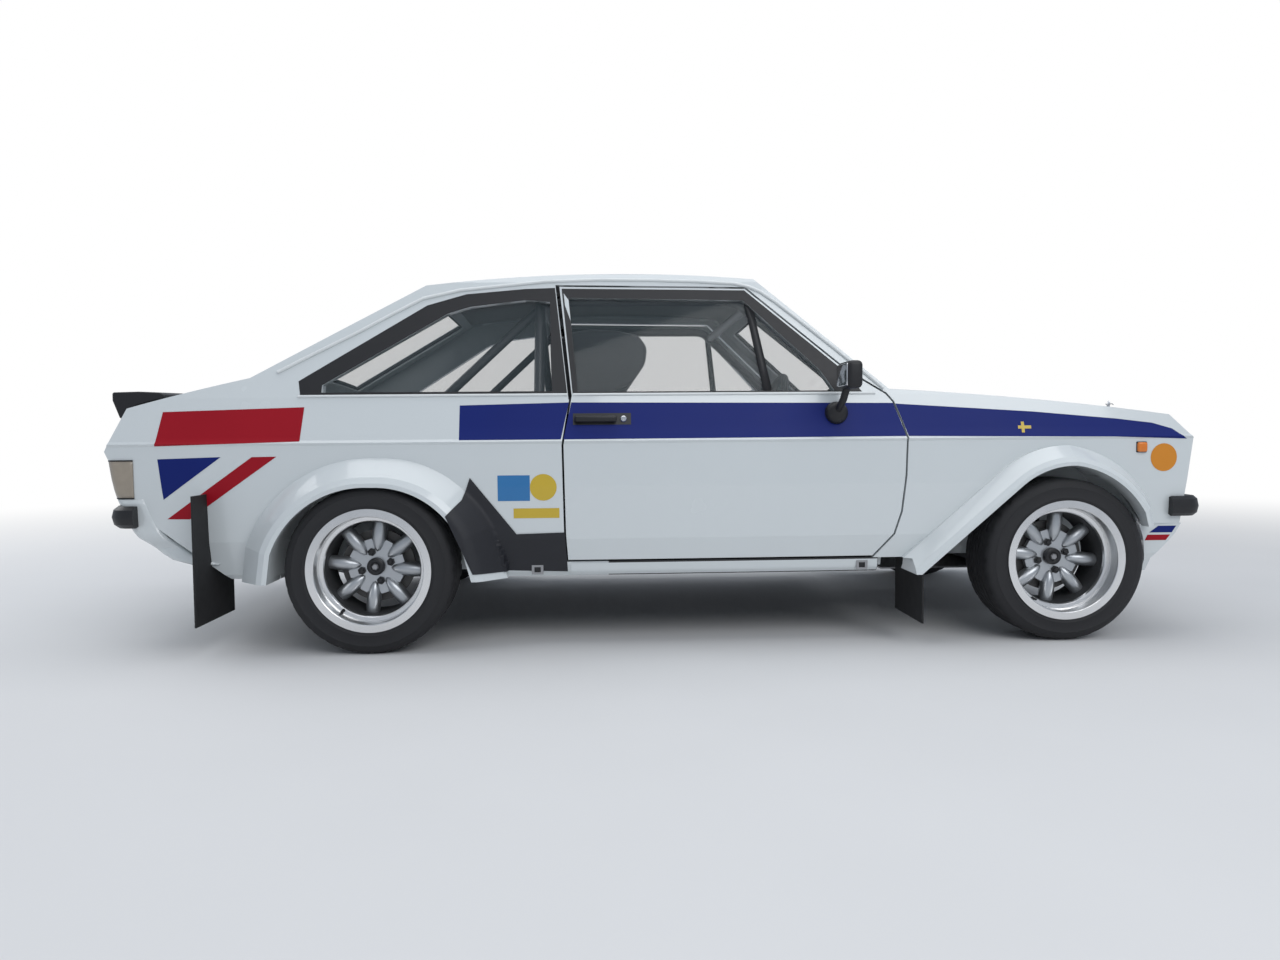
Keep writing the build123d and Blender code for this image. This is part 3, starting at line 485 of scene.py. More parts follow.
for side, s in SIDES.items():
    door = f"door_{side}"
    surrounds = [
        # name, node, body, outlines, cell, lift, thickness
        ("door_window_frame", door, door, door_surround, 0.08, 0.0015, 0.0),
        ("quarter_window_frame", "roof", "body", quarter_surround, 0.08, 0.0015, 0.0),
        ("quarterlight_bar", f"door_glass_{side}", door, [divider], 0.1, 0.004, 0.006),
    ]
    for name, node, body, outlines, cell, lift, thick in surrounds:
        side_skin(f"{name}_{side}", node, body, outlines, TRIM_BLACK, lift, cell, "black_plastic", thick)
    rails = (("door", door, door, door_rail), ("roof", "roof", "body", roof_rail))
    for name, node, body, (start, end) in rails:
        points = [surface_point(node, AXLE_X + x, BELT_Z, s, 0.002) for x in spread(start, end, 13)]
        pipe(f"belt_rail_{name}_{side}", points, 0.0048, RAIL_WHITE, body, 12)
    points = [surface_point("roof", AXLE_X + x, z, s, 0.0035) for x, z in gutter_line]
    pipe(f"drip_rail_{side}", points, 0.0062, RAIL_WHITE, "body", 12)

# Seals round the front and rear screens, following the glass
screen_corners = {
    # name: (low end, high end) on the centre line, (half width low, high), (start, end) along the slope
    "windscreen": ((-0.470, 0.882), (-0.985, 1.301), (0.596, 0.500), (0.046, 0.596)),
    "backlight": ((-2.850, 0.978), (-2.240, 1.310), (0.560, 0.478), (0.040, 0.640)),
}
SEAL_INSET = 0.004


def on_screen(name, up, y, lift=0.0):
    """A point on a screen's outer face, from its distance up the slope and its half width."""
    (x0, z0), (x1, z1), _, _ = screen_corners[name]
    length = sqrt((x1 - x0) ** 2 + (z1 - z0) ** 2)
    run = Vector(((x1 - x0) / length, 0, (z1 - z0) / length))
    out = Vector((run.z, 0, -run.x)) if name == "windscreen" else Vector((-run.z, 0, run.x))
    place = at(x0, y, z0) + run * up
    for node in ("fixed_glass", "roof"):
        hit, _ = meet(node, place + out * 0.4, -out)
        if hit is not None:
            return hit + out * lift
    return place + out * lift


for name, (_, _, (low_half, high_half), (start, end)) in screen_corners.items():
    low, high = low_half - SEAL_INSET, high_half - SEAL_INSET
    foot, head = start + SEAL_INSET, end - SEAL_INSET
    corners = [(foot, -low), (foot, low), (head, high), (head, -high)]
    loop = [on_screen(name, up, y, 0.001) for up, y in walk(corners, (16, 12, 16, 12))]
    pipe(f"{name}_seal", loop, 0.008, RUBBER, "body", 12, cyclic=True)

# Wipers, parked along the foot of the windscreen
wiper_axis = (0.63, 0, 0.776)
for k, (pivot_y, tip_y) in enumerate(((0.14, -0.30), (0.50, 0.06))):
    pivot = on_screen("windscreen", 0.020, pivot_y, 0.012)
    middle = on_screen("windscreen", 0.100, (pivot_y + tip_y) / 2, 0.016)
    arm = [pivot, (pivot + middle) / 2 + Vector((0, 0, 0.008)), middle]
    pipe(f"wiper_arm_{k}", arm, 0.0045, SATIN_BLACK, "body", 8)
    places = zip(spread(0.085, 0.120, 9), spread(pivot_y - 0.02, tip_y - 0.02, 9))
    blade = [on_screen("windscreen", up, y, 0.008) for up, y in places]
    pipe(f"wiper_blade_{k}", blade, 0.005, RUBBER, "body", 8)
    cap = [(0.0, 0.012), (0.009, 0.010), (0.011, 0.0), (0.011, -0.012)]
    turned(f"wiper_pivot_{k}", cap, pivot, wiper_axis, SATIN_BLACK, "body", "black_paint", steps=20)

# Door handles with their locks and recesses
handle_x, handle_z = -1.618, 0.791
lock_profile = [(0.0, 0.010), (0.0085, 0.010), (0.0105, 0.008), (0.0115, 0.0), (0.0115, -0.004)]
for side, s in SIDES.items():
    door = f"door_{side}"
    recess = box_outline(handle_x - 0.100, handle_x + 0.100, 0.771, 0.811)
    side_skin(f"handle_recess_{side}", door, door, [recess], SATIN_BLACK, lift=0.0018, slot="black_plastic")
    face = surface_point(door, AXLE_X + handle_x, handle_z, s)
    bm = bmesh.new()
    rounded_box(
        bm, face + Vector((-0.092, s * 0.012, -0.010)), face + Vector((0.050, s * 0.027, 0.011)), 0.006, 3
    )
    for x in (-0.086, 0.034):
        rounded_box(
            bm, face + Vector((x - 0.009, s * -0.004, -0.008)), face + Vector((x + 0.009, s * 0.016, 0.009))
        )
    new_piece(f"door_handle_{side}", bm, SATIN_BLACK, door, "black_plastic")
    bm = bmesh.new()
    lock = surface_point(door, AXLE_X + handle_x + 0.074, handle_z, s)
    lathe(bm, lock_profile, lock, (0, s, 0), 28)
    rounded_box(bm, lock + Vector((-0.001, 0, -0.005)), lock + Vector((0.001, s * 0.012, 0.005)), 0.0004)
    new_piece(f"door_lock_{side}", bm, CHROME, door, "steel")

# Mirrors: a rounded head on a pod, with its glass in the rear face
pod_profile = [(0.0, 0.036), (0.018, 0.035), (0.031, 0.029), (0.038, 0.018), (0.040, 0.002), (0.040, -0.002)]
for side, s in SIDES.items():
    door = f"door_{side}"
    boxed(
        f"mirror_head_{side}", at(-0.810, s * 0.800, 0.884), at(-0.758, s * 0.944, 0.976), 0.016, 4,
        TRIM_BLACK, door, "black_plastic", smooth=50, replaces=(f"mirror_{side}",),
    )
    pod = surface_point(door, AXLE_X - 0.800, 0.806, s)
    turned(
        f"mirror_pod_{side}", pod_profile, pod, (0, s, 0), TRIM_BLACK, door, "black_plastic", 44, smooth=50
    )
    neck = [pod + Vector((0.0, s * 0.020, 0.006)), at(-0.794, s * 0.828, 0.850), at(-0.786, s * 0.846, 0.892)]
    pipe(f"mirror_neck_{side}", neck, 0.0125, TRIM_BLACK, door, 20)
    boxed(
        f"mirror_glass_{side}", at(-0.8125, s * 0.809, 0.893), at(-0.8070, s * 0.935, 0.967), 0.0025, 3,
        CHROME, door, "glass",
    )

# Stone guards, sill strips, the rear flares' crests, jack sockets with painted shade in their holes, and
# repeaters on the sides
guard_outline = [
    (-2.072, 0.593), (-2.097, 0.519), (-2.145, 0.468), (-2.057, 0.272), (-1.742, 0.262), (-1.750, 0.401),
    (-1.916, 0.397),
]
SILL_END = -1.590
sockets = {"quarter": -1.847, "floor_pan": -0.705}
inner, outer = box_outline(-0.011, 0.011, -0.009, 0.009), box_outline(-0.020, 0.020, -0.016, 0.016)
socket_rings = ((outer, 0.0), (outer, 0.004), (inner, 0.004), (inner, -0.012))
sill_levels = spread(0.250, 0.2915, 9)
for side, s in SIDES.items():
    quarter = f"quarter_{side}"
    side_skin(
        f"stone_guard_{side}", quarter, "body", [guard_outline], GUARD_BLACK, 0.0036, 0.008, "black_plastic"
    )
    bm = bmesh.new()
    columns = []
    for x in spread(-1.731, -0.649, 31):
        points = [surface_point("floor_pan", AXLE_X + max(x, SILL_END), z, s, 0.0026) for z in sill_levels]
        columns.append([bm.verts.new((AXLE_X + x, p.y, p.z)) for p in points])
    join(bm, columns, around=False)
    new_piece(f"sill_strip_{side}", bm, WHITE, "body", "body_white")
    bm = bmesh.new()
    rows = []
    for a in spread(radians(70), radians(124), 31):
        low, high = (
            surface_point(quarter, AXLE_X - WHEELBASE + r * cos(a), WHEEL_Z + r * sin(a), s, 0.0002)
            for r in (0.313, 0.341)
        )
        crest = [low.lerp(high, k / 4) + Vector((0, s * 0.0010 * sin(pi * k / 4), 0)) for k in range(5)]
        rows.append([bm.verts.new(p) for p in crest])
    join(bm, rows, around=False)
    new_piece(f"flare_crest_{side}", bm, WHITE, "body", "body_white", smooth=60)
    for k, (node, x) in enumerate(sockets.items()):
        face = surface_point(quarter if node == "quarter" else node, AXLE_X + x, 0.270, s, 0.004)
        bm = bmesh.new()
        loops = []
        for outline, depth in socket_rings:
            loops.append([bm.verts.new(face + Vector((a, s * depth, b))) for a, b in outline])
        join(bm, loops)
        new_piece(f"jack_socket_{k}_{side}", bm, STEEL, "body", "steel", smooth=20)
        # A black plug a little inside each socket's hole, as painted shade in the hole
        boxed(
            f"jack_socket_shade_{k}_{side}", face + Vector((-0.0115, s * -0.010, -0.0095)),
            face + Vector((0.0115, s * 0.001, 0.0095)), 0.002, 2, TRIM_BLACK, "body", "black_plastic",
        )
    face = surface_point(f"wing_{side}", AXLE_X + 0.3065, 0.6775, s)
    repeater_parts = (
        # name, half size, reach, edge radius, steps, material, slot
        ("repeater", 0.0175, 0.013, 0.007, 5, LENS_AMBER, "tail_lens"),
        ("repeater_seat", 0.0195, 0.004, 0.003, 2, RUBBER, "rubber"),
    )
    for name, half, reach, radius, steps, material, slot in repeater_parts:
        near, far = face + Vector((-half, s * -0.004, -half)), face + Vector((half, s * reach, half))
        boxed(f"{name}_{side}", near, far, radius, steps, material, "body", slot)

# Bonnet pins with their plates, rings and wires
DOWN = (0, 0, -1)
pin_x, pin_y, pin_axis = 0.330, 0.490, (0.1, 0, 1)
pin_plate = [(0.0, 0.003), (0.020, 0.003), (0.023, 0.0), (0.023, -0.003)]
pin_profile = [(0.0, 0.030), (0.004, 0.028), (0.0055, 0.022), (0.0055, 0.0)]
for side, s in SIDES.items():
    foot, _ = meet("bonnet", at(pin_x, s * pin_y, OUTSIDE), DOWN)
    turned(f"bonnet_pin_plate_{side}", pin_plate, foot, pin_axis, CHROME, "bonnet", "steel", 32)
    turned(f"bonnet_pin_{side}", pin_profile, foot, pin_axis, CHROME, "bonnet", "steel", 20)
    top = foot + Vector((0, 0, 0.016))
    loop = []
    for k in range(20):
        a = 2 * pi * k / 20
        loop.append(top + Vector((0.013 * cos(a), 0.013 * sin(a) + s * 0.010, 0.002 * sin(3 * a))))
    pipe(f"bonnet_pin_ring_{side}", loop, 0.0014, STEEL, "bonnet", 8, cyclic=True)
    wire = [top + Vector((0.012 + 0.02 * t, s * (0.012 + 0.012 * t), -0.012 - 0.003 * t)) for t in range(5)]
    for point in wire:
        ground, _ = meet("bonnet", (point.x, point.y, OUTSIDE), DOWN)
        if ground is not None:
            point.z = ground.z + 0.003
    pipe(f"bonnet_pin_wire_{side}", wire, 0.0012, STEEL, "bonnet", 8)

# Wheels: tyres with their tread, stepped barrels, spokes, hubs, nuts, caps and valves, and a near-black liner
# inside each barrel as painted shade
half_tread = 0.079
crown = [(WHEEL_Z - 0.0012, -half_tread)]
for g in (-0.045, -0.015, 0.015, 0.045):
    crown += [(WHEEL_Z, g - 0.0040), (WHEEL_Z - 0.0065, g - 0.0028)]
    crown += [(WHEEL_Z - 0.0065, g + 0.0028), (WHEEL_Z, g + 0.0040)]
crown.append((WHEEL_Z - 0.0012, half_tread))
wall = [
    (0.1912, 0.0985), (0.2030, 0.0990), (0.2110, 0.1012), (0.2170, 0.1040), (0.2200, 0.1052),
    (0.2230, 0.1040), (0.2380, 0.1052), (0.2520, 0.1045), (0.2545, 0.1056), (0.2570, 0.1036),
    (0.2660, 0.1005), (0.2745, 0.0955), (0.2800, 0.0900), (0.2832, 0.0845),
]
tyre_profile = [(r, -w) for r, w in wall] + crown + wall[::-1]
tyre_profile += [(0.2040, 0.0840), (0.2700, 0.0800), (0.2700, -0.0800), (0.2040, -0.0840)]
rim_profile = [
    (0.2090, 0.1050), (0.1850, 0.1058), (0.1828, 0.1040), (0.1812, 0.0980), (0.1800, 0.0600),
    (0.1780, 0.0552), (0.1672, 0.0538), (0.1648, 0.0515), (0.1640, 0.0450), (0.1640, -0.0990),
    (0.1760, -0.1040), (0.2090, -0.1040), (0.2090, -0.0997), (0.1905, -0.0997), (0.1905, 0.0997),
    (0.2090, 0.0997),
]
# The liner just within each barrel's inner wall, which paints the shade inside the wheel
barrel_shade_profile = [(0.1638, 0.0380), (0.1600, 0.0300), (0.1592, -0.0985), (0.1638, -0.0985)]
nut_profile = [
    (0.0, 0.007), (0.005, 0.007), (0.0090, 0.0045), (0.0102, -0.002), (0.0140, -0.0030), (0.0145, -0.0110),
]
cap_profile = [
    (0.0, 0.0070), (0.014, 0.0070), (0.0175, 0.0098), (0.0240, 0.0098), (0.0295, 0.0060), (0.0305, 0.0),
    (0.0305, -0.0110),
]
bolt_profile = [(0.0, 0.0150), (0.0090, 0.0150), (0.0115, 0.0125), (0.0120, 0.0065)]
valve_profile = [(0.0, 0.030), (0.0035, 0.030), (0.0038, 0.014), (0.0052, 0.010), (0.0058, 0.0)]
# Along a spoke: distance out, half width, height of its back over the tyre's middle
petal_stations = [
    (0.0510, 0.0010, -0.0105), (0.0530, 0.0060, -0.0070), (0.0580, 0.0105, -0.0020), (0.0680, 0.0152, 0.0040),
    (0.0820, 0.0196, 0.0090), (0.0980, 0.0232, 0.0120), (0.1130, 0.0250, 0.0125), (0.1280, 0.0250, 0.0118),
    (0.1420, 0.0243, 0.0102), (0.1540, 0.0234, 0.0082), (0.1650, 0.0226, 0.0060),
]
PETALS, PETAL_PHASE, NUT_CIRCLE, VALVE_CIRCLE = 8, radians(84), 0.0520, 0.1722


def spoke_way(angle):
    """The way out from the axle at an angle, in the wheel's plane."""
    return Vector((cos(angle), 0, sin(angle)))


def petal(bm, centre, out, way):
    """One rounded spoke, from its tip by the hub to the barrel."""
    aside = way.cross(out)
    loops = []
    for r, half, top in petal_stations:
        points = []
        for a in spread(0.0, pi, 11):
            points.append(way * r + aside * (half * cos(a)) + out * (-0.020 + (top + 0.020) * sin(a) ** 0.75))
        points.append(way * r - aside * half * 0.9 + out * -0.028)
        points.append(way * r + aside * half * 0.9 + out * -0.028)
        loops.append([bm.verts.new(centre + p) for p in points])
    join(bm, loops, caps=True)


def hub_plate(bm, centre, out):
    """The plate that joins the spokes, with a square tooth between each two."""
    edge = []
    for k in range(PETALS):
        middle = PETAL_PHASE + radians(22.5 + 45 * k)
        for turn, r in ((-0.30, 0.062), (-0.135, 0.0975), (0.135, 0.0975), (0.30, 0.062)):
            edge.append((r, middle + turn))
    rings = []
    for scale, w in ((1.0, -0.0100), (1.012, -0.0112), (1.012, -0.0290)):
        rings.append([bm.verts.new(centre + spoke_way(a) * r * scale + out * w) for r, a in edge])
    join(bm, rings)
    for w, points in ((-0.0100, rings[0]), (-0.0290, rings[-1])):
        hub = bm.verts.new(centre + out * w)
        for j, point in enumerate(points):
            bm.faces.new((hub, point, points[(j + 1) % len(points)]))


def cut_shoulders(rings, centre, out):
    """Sinks the tread's shoulder slots into every sixth line of a tyre."""
    for line in rings[::6]:
        for vert, (r, w) in zip(line, tyre_profile):
            if r > 0.2825 and 0.050 < abs(w) < 0.086:
                offset = vert.co - centre
                vert.co -= (offset - out * offset.dot(out)).normalized() * 0.0045


for end, place in AXLES.items():
    for side, s in SIDES.items():
        wheel = f"{end}_{side}"
        body = f"wheel_{wheel}"
        centre = at(place, s * TRACK_HALF[end], WHEEL_Z)
        out = Vector((0, s, 0))
        bm = bmesh.new()
        cut_shoulders(lathe(bm, tyre_profile, centre, out, 192, closed=True), centre, out)
        new_piece(f"tyre_body_{wheel}", bm, TYRE, body, "tyre", smooth=40, replaces=(f"tyre_{wheel}",))
        turned(
            f"rim_barrel_{wheel}", rim_profile, centre, out, LIP, body, "alloy", 128, closed=True, smooth=32,
            replaces=(f"rim_{wheel}",),
        )
        # A dark liner inside the barrel, as painted shade
        turned(
            f"rim_shade_liner_{wheel}", barrel_shade_profile, centre, out, BARREL_SHADE, body, "alloy", 96, True, smooth=32
        )
        bm = bmesh.new()
        for k in range(PETALS):
            petal(bm, centre, out, spoke_way(PETAL_PHASE + radians(45 * k)))
        new_piece(f"rim_petals_{wheel}", bm, ALLOY, body, "alloy", smooth=45)
        bm = bmesh.new()
        hub_plate(bm, centre, out)
        new_piece(f"rim_hub_{wheel}", bm, ALLOY, body, "alloy", smooth=28)
        bm = bmesh.new()
        for k in range(4):
            middle = centre + spoke_way(PETAL_PHASE + radians(22.5 + 90 * k)) * NUT_CIRCLE
            lathe(bm, nut_profile, middle, out, 6)
        lathe(bm, cap_profile, centre, out, 48)
        new_piece(f"wheel_nuts_{wheel}", bm, SATIN_BLACK, body, "black_paint", smooth=28)
        turned(f"wheel_bolt_{wheel}", bolt_profile, centre, out, STEEL, body, "steel", 6, smooth=25)
        valve = centre + spoke_way(radians(235)) * VALVE_CIRCLE + out * 0.052
        turned(f"wheel_valve_{wheel}", valve_profile, valve, out, RUBBER, body, "rubber", 14)

# Front springs round the struts
SPRING_START, SPRING_RISE, SPRING_RADIUS, SPRING_TURNS = 0.344, 0.235, 0.043, 6.5
for side, s in SIDES.items():
    foot, head = (at(x, s * y, z) for x, y, z in (STRUT_FOOT, STRUT_HEAD))
    axis = (head - foot).normalized()
    u = axis.orthogonal().normalized()
    v = axis.cross(u)
    coil = []
    for t in spread(0.0, 1.0, 131):
        angle = 2 * pi * SPRING_TURNS * t
        middle = foot + axis * (SPRING_START + SPRING_RISE * t)
        coil.append(middle + (u * cos(angle) + v * sin(angle)) * SPRING_RADIUS)
    pipe(f"coil_spring_{side}", coil, 0.0055, SPRING_RED, f"knuckle_{side}", 10)

# Headlamps: bezels, reflectors and bulbs
lamp_y, lamp_z = 0.500, 0.620
bezel_profile = [
    (0.0655, 0.004), (0.0675, 0.0085), (0.0725, 0.0095), (0.0765, 0.006), (0.0775, -0.006), (0.0655, -0.006),
]
reflector_profile = [(0.0, -0.034), (0.020, -0.033), (0.045, -0.026), (0.066, -0.012)]
bulb_profile = [(0.0, -0.008), (0.007, -0.010), (0.010, -0.016), (0.010, -0.032)]
lamp_parts = [
    # name, profile, material, slot, steps, closed, smooth
    ("lamp_bezel", bezel_profile, CHROME, "steel", 64, True, 35),
    ("lamp_reflector", reflector_profile, CHROME, "steel", 48, False, 60),
    ("lamp_bulb", bulb_profile, LENS_BEIGE, "lamp_glass", 24, False, 35),
]
for side, s in SIDES.items():
    hit, _ = meet("headlamps", at(OUTSIDE, s * lamp_y, lamp_z), (-1, 0, 0))
    face = Vector((hit.x, s * lamp_y, lamp_z))
    for name, profile, material, slot, steps, closed, smooth in lamp_parts:
        turned(
            f"{name}_{side}", profile, face, (1, 0, 0), material, "body", slot, steps, closed, smooth=smooth
        )

# Tail and nose: the wrap-round lamps, the corner bumpers and the valance, from (height, place) outlines
tail_profile = [
    (0.300, -3.040), (0.319, -3.108), (0.340, -3.148), (0.364, -3.180), (0.401, -3.222), (0.440, -3.246),
    (0.503, -3.270), (0.529, -3.280), (0.561, -3.289), (0.600, -3.297), (0.664, -3.306),
]
nose_profile = [(0.420, 0.503), (0.505, 0.515)]
CORNER_RADIUS, CORNER_CROWN, CORNER_SLOPE, BUMPER_Z = 0.035, 0.044, 0.030, 0.470


def profile_x(profile, z):
    """The place on a (height, place) line at a height."""
    for (z0, x0), (z1, x1) in zip(profile, profile[1:]):
        if z <= z1:
            return x0 + (x1 - x0) * (z - z0) / (z1 - z0)
    return profile[-1][1]


def corner_path(profile, z, s, side_end, y_stop, lift=0.0):
    """Points and outward ways from a body side round a corner of the car, at one height."""
    end_x = profile_x(profile, z)
    way = -1 if end_x < 0 else 1
    node = f"{'quarter' if way < 0 else 'wing'}_{'left' if s > 0 else 'right'}"
    centre_x = end_x - way * CORNER_RADIUS
    half = abs(surface_point(node, AXLE_X + side_end, max(z, 0.33), s).y)
    points = []
    for k in range(5):
        x = side_end + (centre_x - side_end) * k / 5
        points.append((x, half - CORNER_SLOPE * max(0.0, (x - side_end) * way), 0.0, 1.0))
    last = half - CORNER_SLOPE * max(0.0, (centre_x - side_end) * way) - CORNER_RADIUS
    for a in spread(0.0, pi / 2, 9):
        nx, ny = way * sin(a), cos(a)
        points.append((centre_x + nx * CORNER_RADIUS, last + ny * CORNER_RADIUS, nx, ny))
    for y in spread(last, y_stop, 9)[1:]:
        drop = CORNER_CROWN * ((y / 0.7) ** 2 - (last / 0.7) ** 2)
        points.append((end_x - way * drop, y, way, 0.0))
    return [(at(x + nx * lift, s * (y + ny * lift), z), Vector((nx, s * ny, 0))) for x, y, nx, ny in points]


def wrap(name, material, slot, levels, s, side_end, y_stop, lift, tuck=0.0, replaces=()):
    """A sheet round a corner of the tail, over a range of heights, with its front edge tucked in."""
    bm = bmesh.new()
    rows = []
    for z in levels:
        start = side_end(z) if callable(side_end) else side_end
        rows.append([bm.verts.new(p) for p, _ in corner_path(tail_profile, z, s, start, y_stop, lift)])
        rows[-1][0].co.y -= s * tuck
    join(bm, rows, around=False)
    thicken(new_piece(name, bm, material, "body", slot, smooth=40, replaces=replaces), 0.004)


def wrap_bar(name, profile, section, s, side_end, y_stop, replaces=()):
    """A bumper of one section, of (distance out, height), round a corner of the car."""
    bm = bmesh.new()
    path = corner_path(profile, BUMPER_Z, s, side_end, y_stop)
    rings = [[bm.verts.new((*(p + n * d).xy, z)) for d, z in section] for p, n in path]
    join(bm, rings, caps=True)
    new_piece(name, bm, SATIN_BLACK, "body", "black_paint", smooth=30, replaces=replaces)


LAMP_FRONT = -3.2135
lamp_levels = spread(0.531, 0.662, 9)
rear_section = [
    (-0.012, 0.438), (0.022, 0.431), (0.038, 0.444), (0.044, 0.469), (0.038, 0.494), (0.022, 0.507),
    (-0.012, 0.503),
]
front_section = [
    (-0.004, 0.436), (0.014, 0.429), (0.026, 0.440), (0.031, 0.464), (0.026, 0.490), (0.014, 0.501),
    (-0.004, 0.495),
]
for side, s in SIDES.items():
    # The left piece of each pair stands for the whole node
    lens_node, bumper_node = (("tail_lamps",), ("bumpers",)) if s > 0 else ((), ())
    wrap(
        f"tail_lens_{side}", LENS_BEIGE, "tail_lens", lamp_levels, s, LAMP_FRONT, 0.588, 0.0016,
        replaces=lens_node,
    )
    seat_levels = [0.528] + lamp_levels + [0.666]
    wrap(f"tail_lamp_seat_{side}", WHITE, "body_white", seat_levels, s, -3.207, 0.586, -0.0032)
    for k, z in enumerate((0.5325, 0.6605)):
        line = [p for p, _ in corner_path(tail_profile, z, s, LAMP_FRONT, 0.588, 0.0022)]
        pipe(f"tail_lamp_trim_{k}_{side}", line, 0.0028, TRIM_BLACK, "body", 8)
    for k, z in enumerate((0.574, 0.617)):
        line = [p for p, _ in corner_path(tail_profile, z, s, -3.300, 0.592, 0.0020)][6:]
        pipe(f"tail_lamp_rib_{k}_{side}", line, 0.0018, TRIM_BLACK, "body", 8)
    wrap(
        f"valance_{side}", WHITE, "body_white", spread(0.300, 0.529, 13), s,
        lambda z: profile_x(tail_profile, z) + 0.105, 0.0, 0.0012, 0.010,
    )
    wrap_bar(f"bumper_rear_{side}", tail_profile, rear_section, s, -3.203, 0.470, bumper_node)
    wrap_bar(f"bumper_front_{side}", nose_profile, front_section, s, 0.418, 0.470)

# Blank number plate on the boot lid, and its lamp
PLATE_Z = 0.626
plate_parts = [
    # name, material, slot, height on the lid, (inner, outer) reach, half width, half height, radius, steps
    ("number_plate_rear", PLATE_WHITE, "body_white", PLATE_Z, (-0.003, -0.008), 0.260, 0.055, 0.002, 2),
    ("number_plate_holder", TRIM_BLACK, "black_plastic", PLATE_Z, (0.001, -0.006), 0.262, 0.057, 0.002, 2),
    ("plate_lamp", CHROME, "steel", 0.740, (0.002, -0.012), 0.050, 0.008, 0.005, 3),
]
for name, material, slot, z, (inner, outer), half, half_height, radius, steps in plate_parts:
    hit, facing = meet("boot_lid", (-3.0, 0, z), (1, 0, 0))
    lean = Matrix.Translation(hit) @ Matrix.Rotation(atan2(facing.z, -facing.x), 4, "Y")
    bm = bmesh.new()
    rounded_box(bm, (outer, -half, -half_height), (inner, half, half_height), radius, steps)
    bmesh.ops.transform(bm, matrix=lean, verts=bm.verts)
    new_piece(name, bm, material, "boot_lid", slot)

# Trim cards inside the doors and the rear quarters
door_card = [
    (-1.716, 0.330), (-0.700, 0.330), (-0.640, 0.440), (-0.625, 0.600), (-0.665, 0.840), (-1.700, 0.840),
]
rear_card = [(-2.560, 0.560), (-1.780, 0.420), (-1.770, 0.840), (-2.560, 0.840)]
card_look = {"lift": 0.003, "slot": "black_plastic", "thick": 0.003, "inside": True}
for side in SIDES:
    door = f"door_{side}"
    side_skin(f"door_card_{side}", door, door, [door_card], CABIN, **card_look)
    side_skin(f"rear_card_{side}", f"quarter_{side}", "body", [rear_card], CABIN, **card_look)

# What stands on the dashboard and the tunnel
driver_y = DRIVER * SEAT_Y
dial_axis = Vector((-0.64, 0, 0.77)).normalized()
for k, (dy, r) in enumerate(((-0.062, 0.045), (0.048, 0.045), (0.130, 0.024))):
    middle = at(-0.832, driver_y + dy, 0.829)
    dial_rim = [(r - 0.004, 0.001), (r - 0.003, 0.010), (r, 0.010), (r + 0.002, -0.002)]
    dial_face = [(0.0, 0.003), (r - 0.004, 0.003), (r - 0.004, -0.002)]
    turned(f"dial_ring_{k}", dial_rim, middle, dial_axis, SATIN_BLACK, "body", "black_plastic", 36, True)
    turned(f"dial_face_{k}", dial_face, middle, dial_axis, CABIN, "body", "black_plastic", 36)
    pivot = middle + dial_axis * 0.005
    needle = [pivot, pivot + Vector((0.02, 0.018, 0.0166)) * (r / 0.045)]
    pipe(f"dial_needle_{k}", needle, 0.0010, RED, "body", 8)
hood_low, hood_high = at(-0.835, driver_y - 0.125, 0.848), at(-0.690, driver_y + 0.170, 0.892)
boxed("dial_hood", hood_low, hood_high, 0.016, 4, CABIN, "body", "black_plastic")
lever = [at(-1.020, 0.0, 0.398), at(-1.030, -0.004, 0.470), at(-1.060, -0.012, 0.560)]
pipe("gear_lever", lever, 0.006, STEEL, "body", 10)
knob = [(0.0, 0.050), (0.012, 0.048), (0.021, 0.036), (0.022, 0.024), (0.014, 0.006), (0.008, 0.0)]
knob_foot = at(-1.060, -0.012, 0.556)
turned("gear_knob", knob, knob_foot, (-0.2, 0, 1), SATIN_BLACK, "body", "black_plastic", 28, smooth=60)
gaiter = [(0.016, 0.045), (0.022, 0.040), (0.030, 0.022), (0.036, 0.020), (0.046, 0.004), (0.050, 0.0)]
turned("gear_gaiter", gaiter, at(-1.020, 0, 0.4005), (0, 0, 1), RUBBER, "body", "rubber", 32, smooth=60)

# Roof lining
LINING_GAP, ROOF_LIMIT, ROOF_EDGE = 0.005, 1.34, 1.29
bm = bmesh.new()
grid = []
for x in spread(-2.230, -1.010, 27):
    line = []
    for y in spread(-0.470, 0.470, 21):
        hit, _ = meet("roof", at(x, y, 0.95), (0, 0, 1))
        height = hit.z if hit is not None and hit.z < ROOF_LIMIT else ROOF_EDGE
        line.append(bm.verts.new(at(x, y, height - LINING_GAP)))
    grid.append(line)
join(bm, grid, around=False)
thicken(new_piece("roof_lining", bm, LINING, "body", "fabric", smooth=60), 0.003)

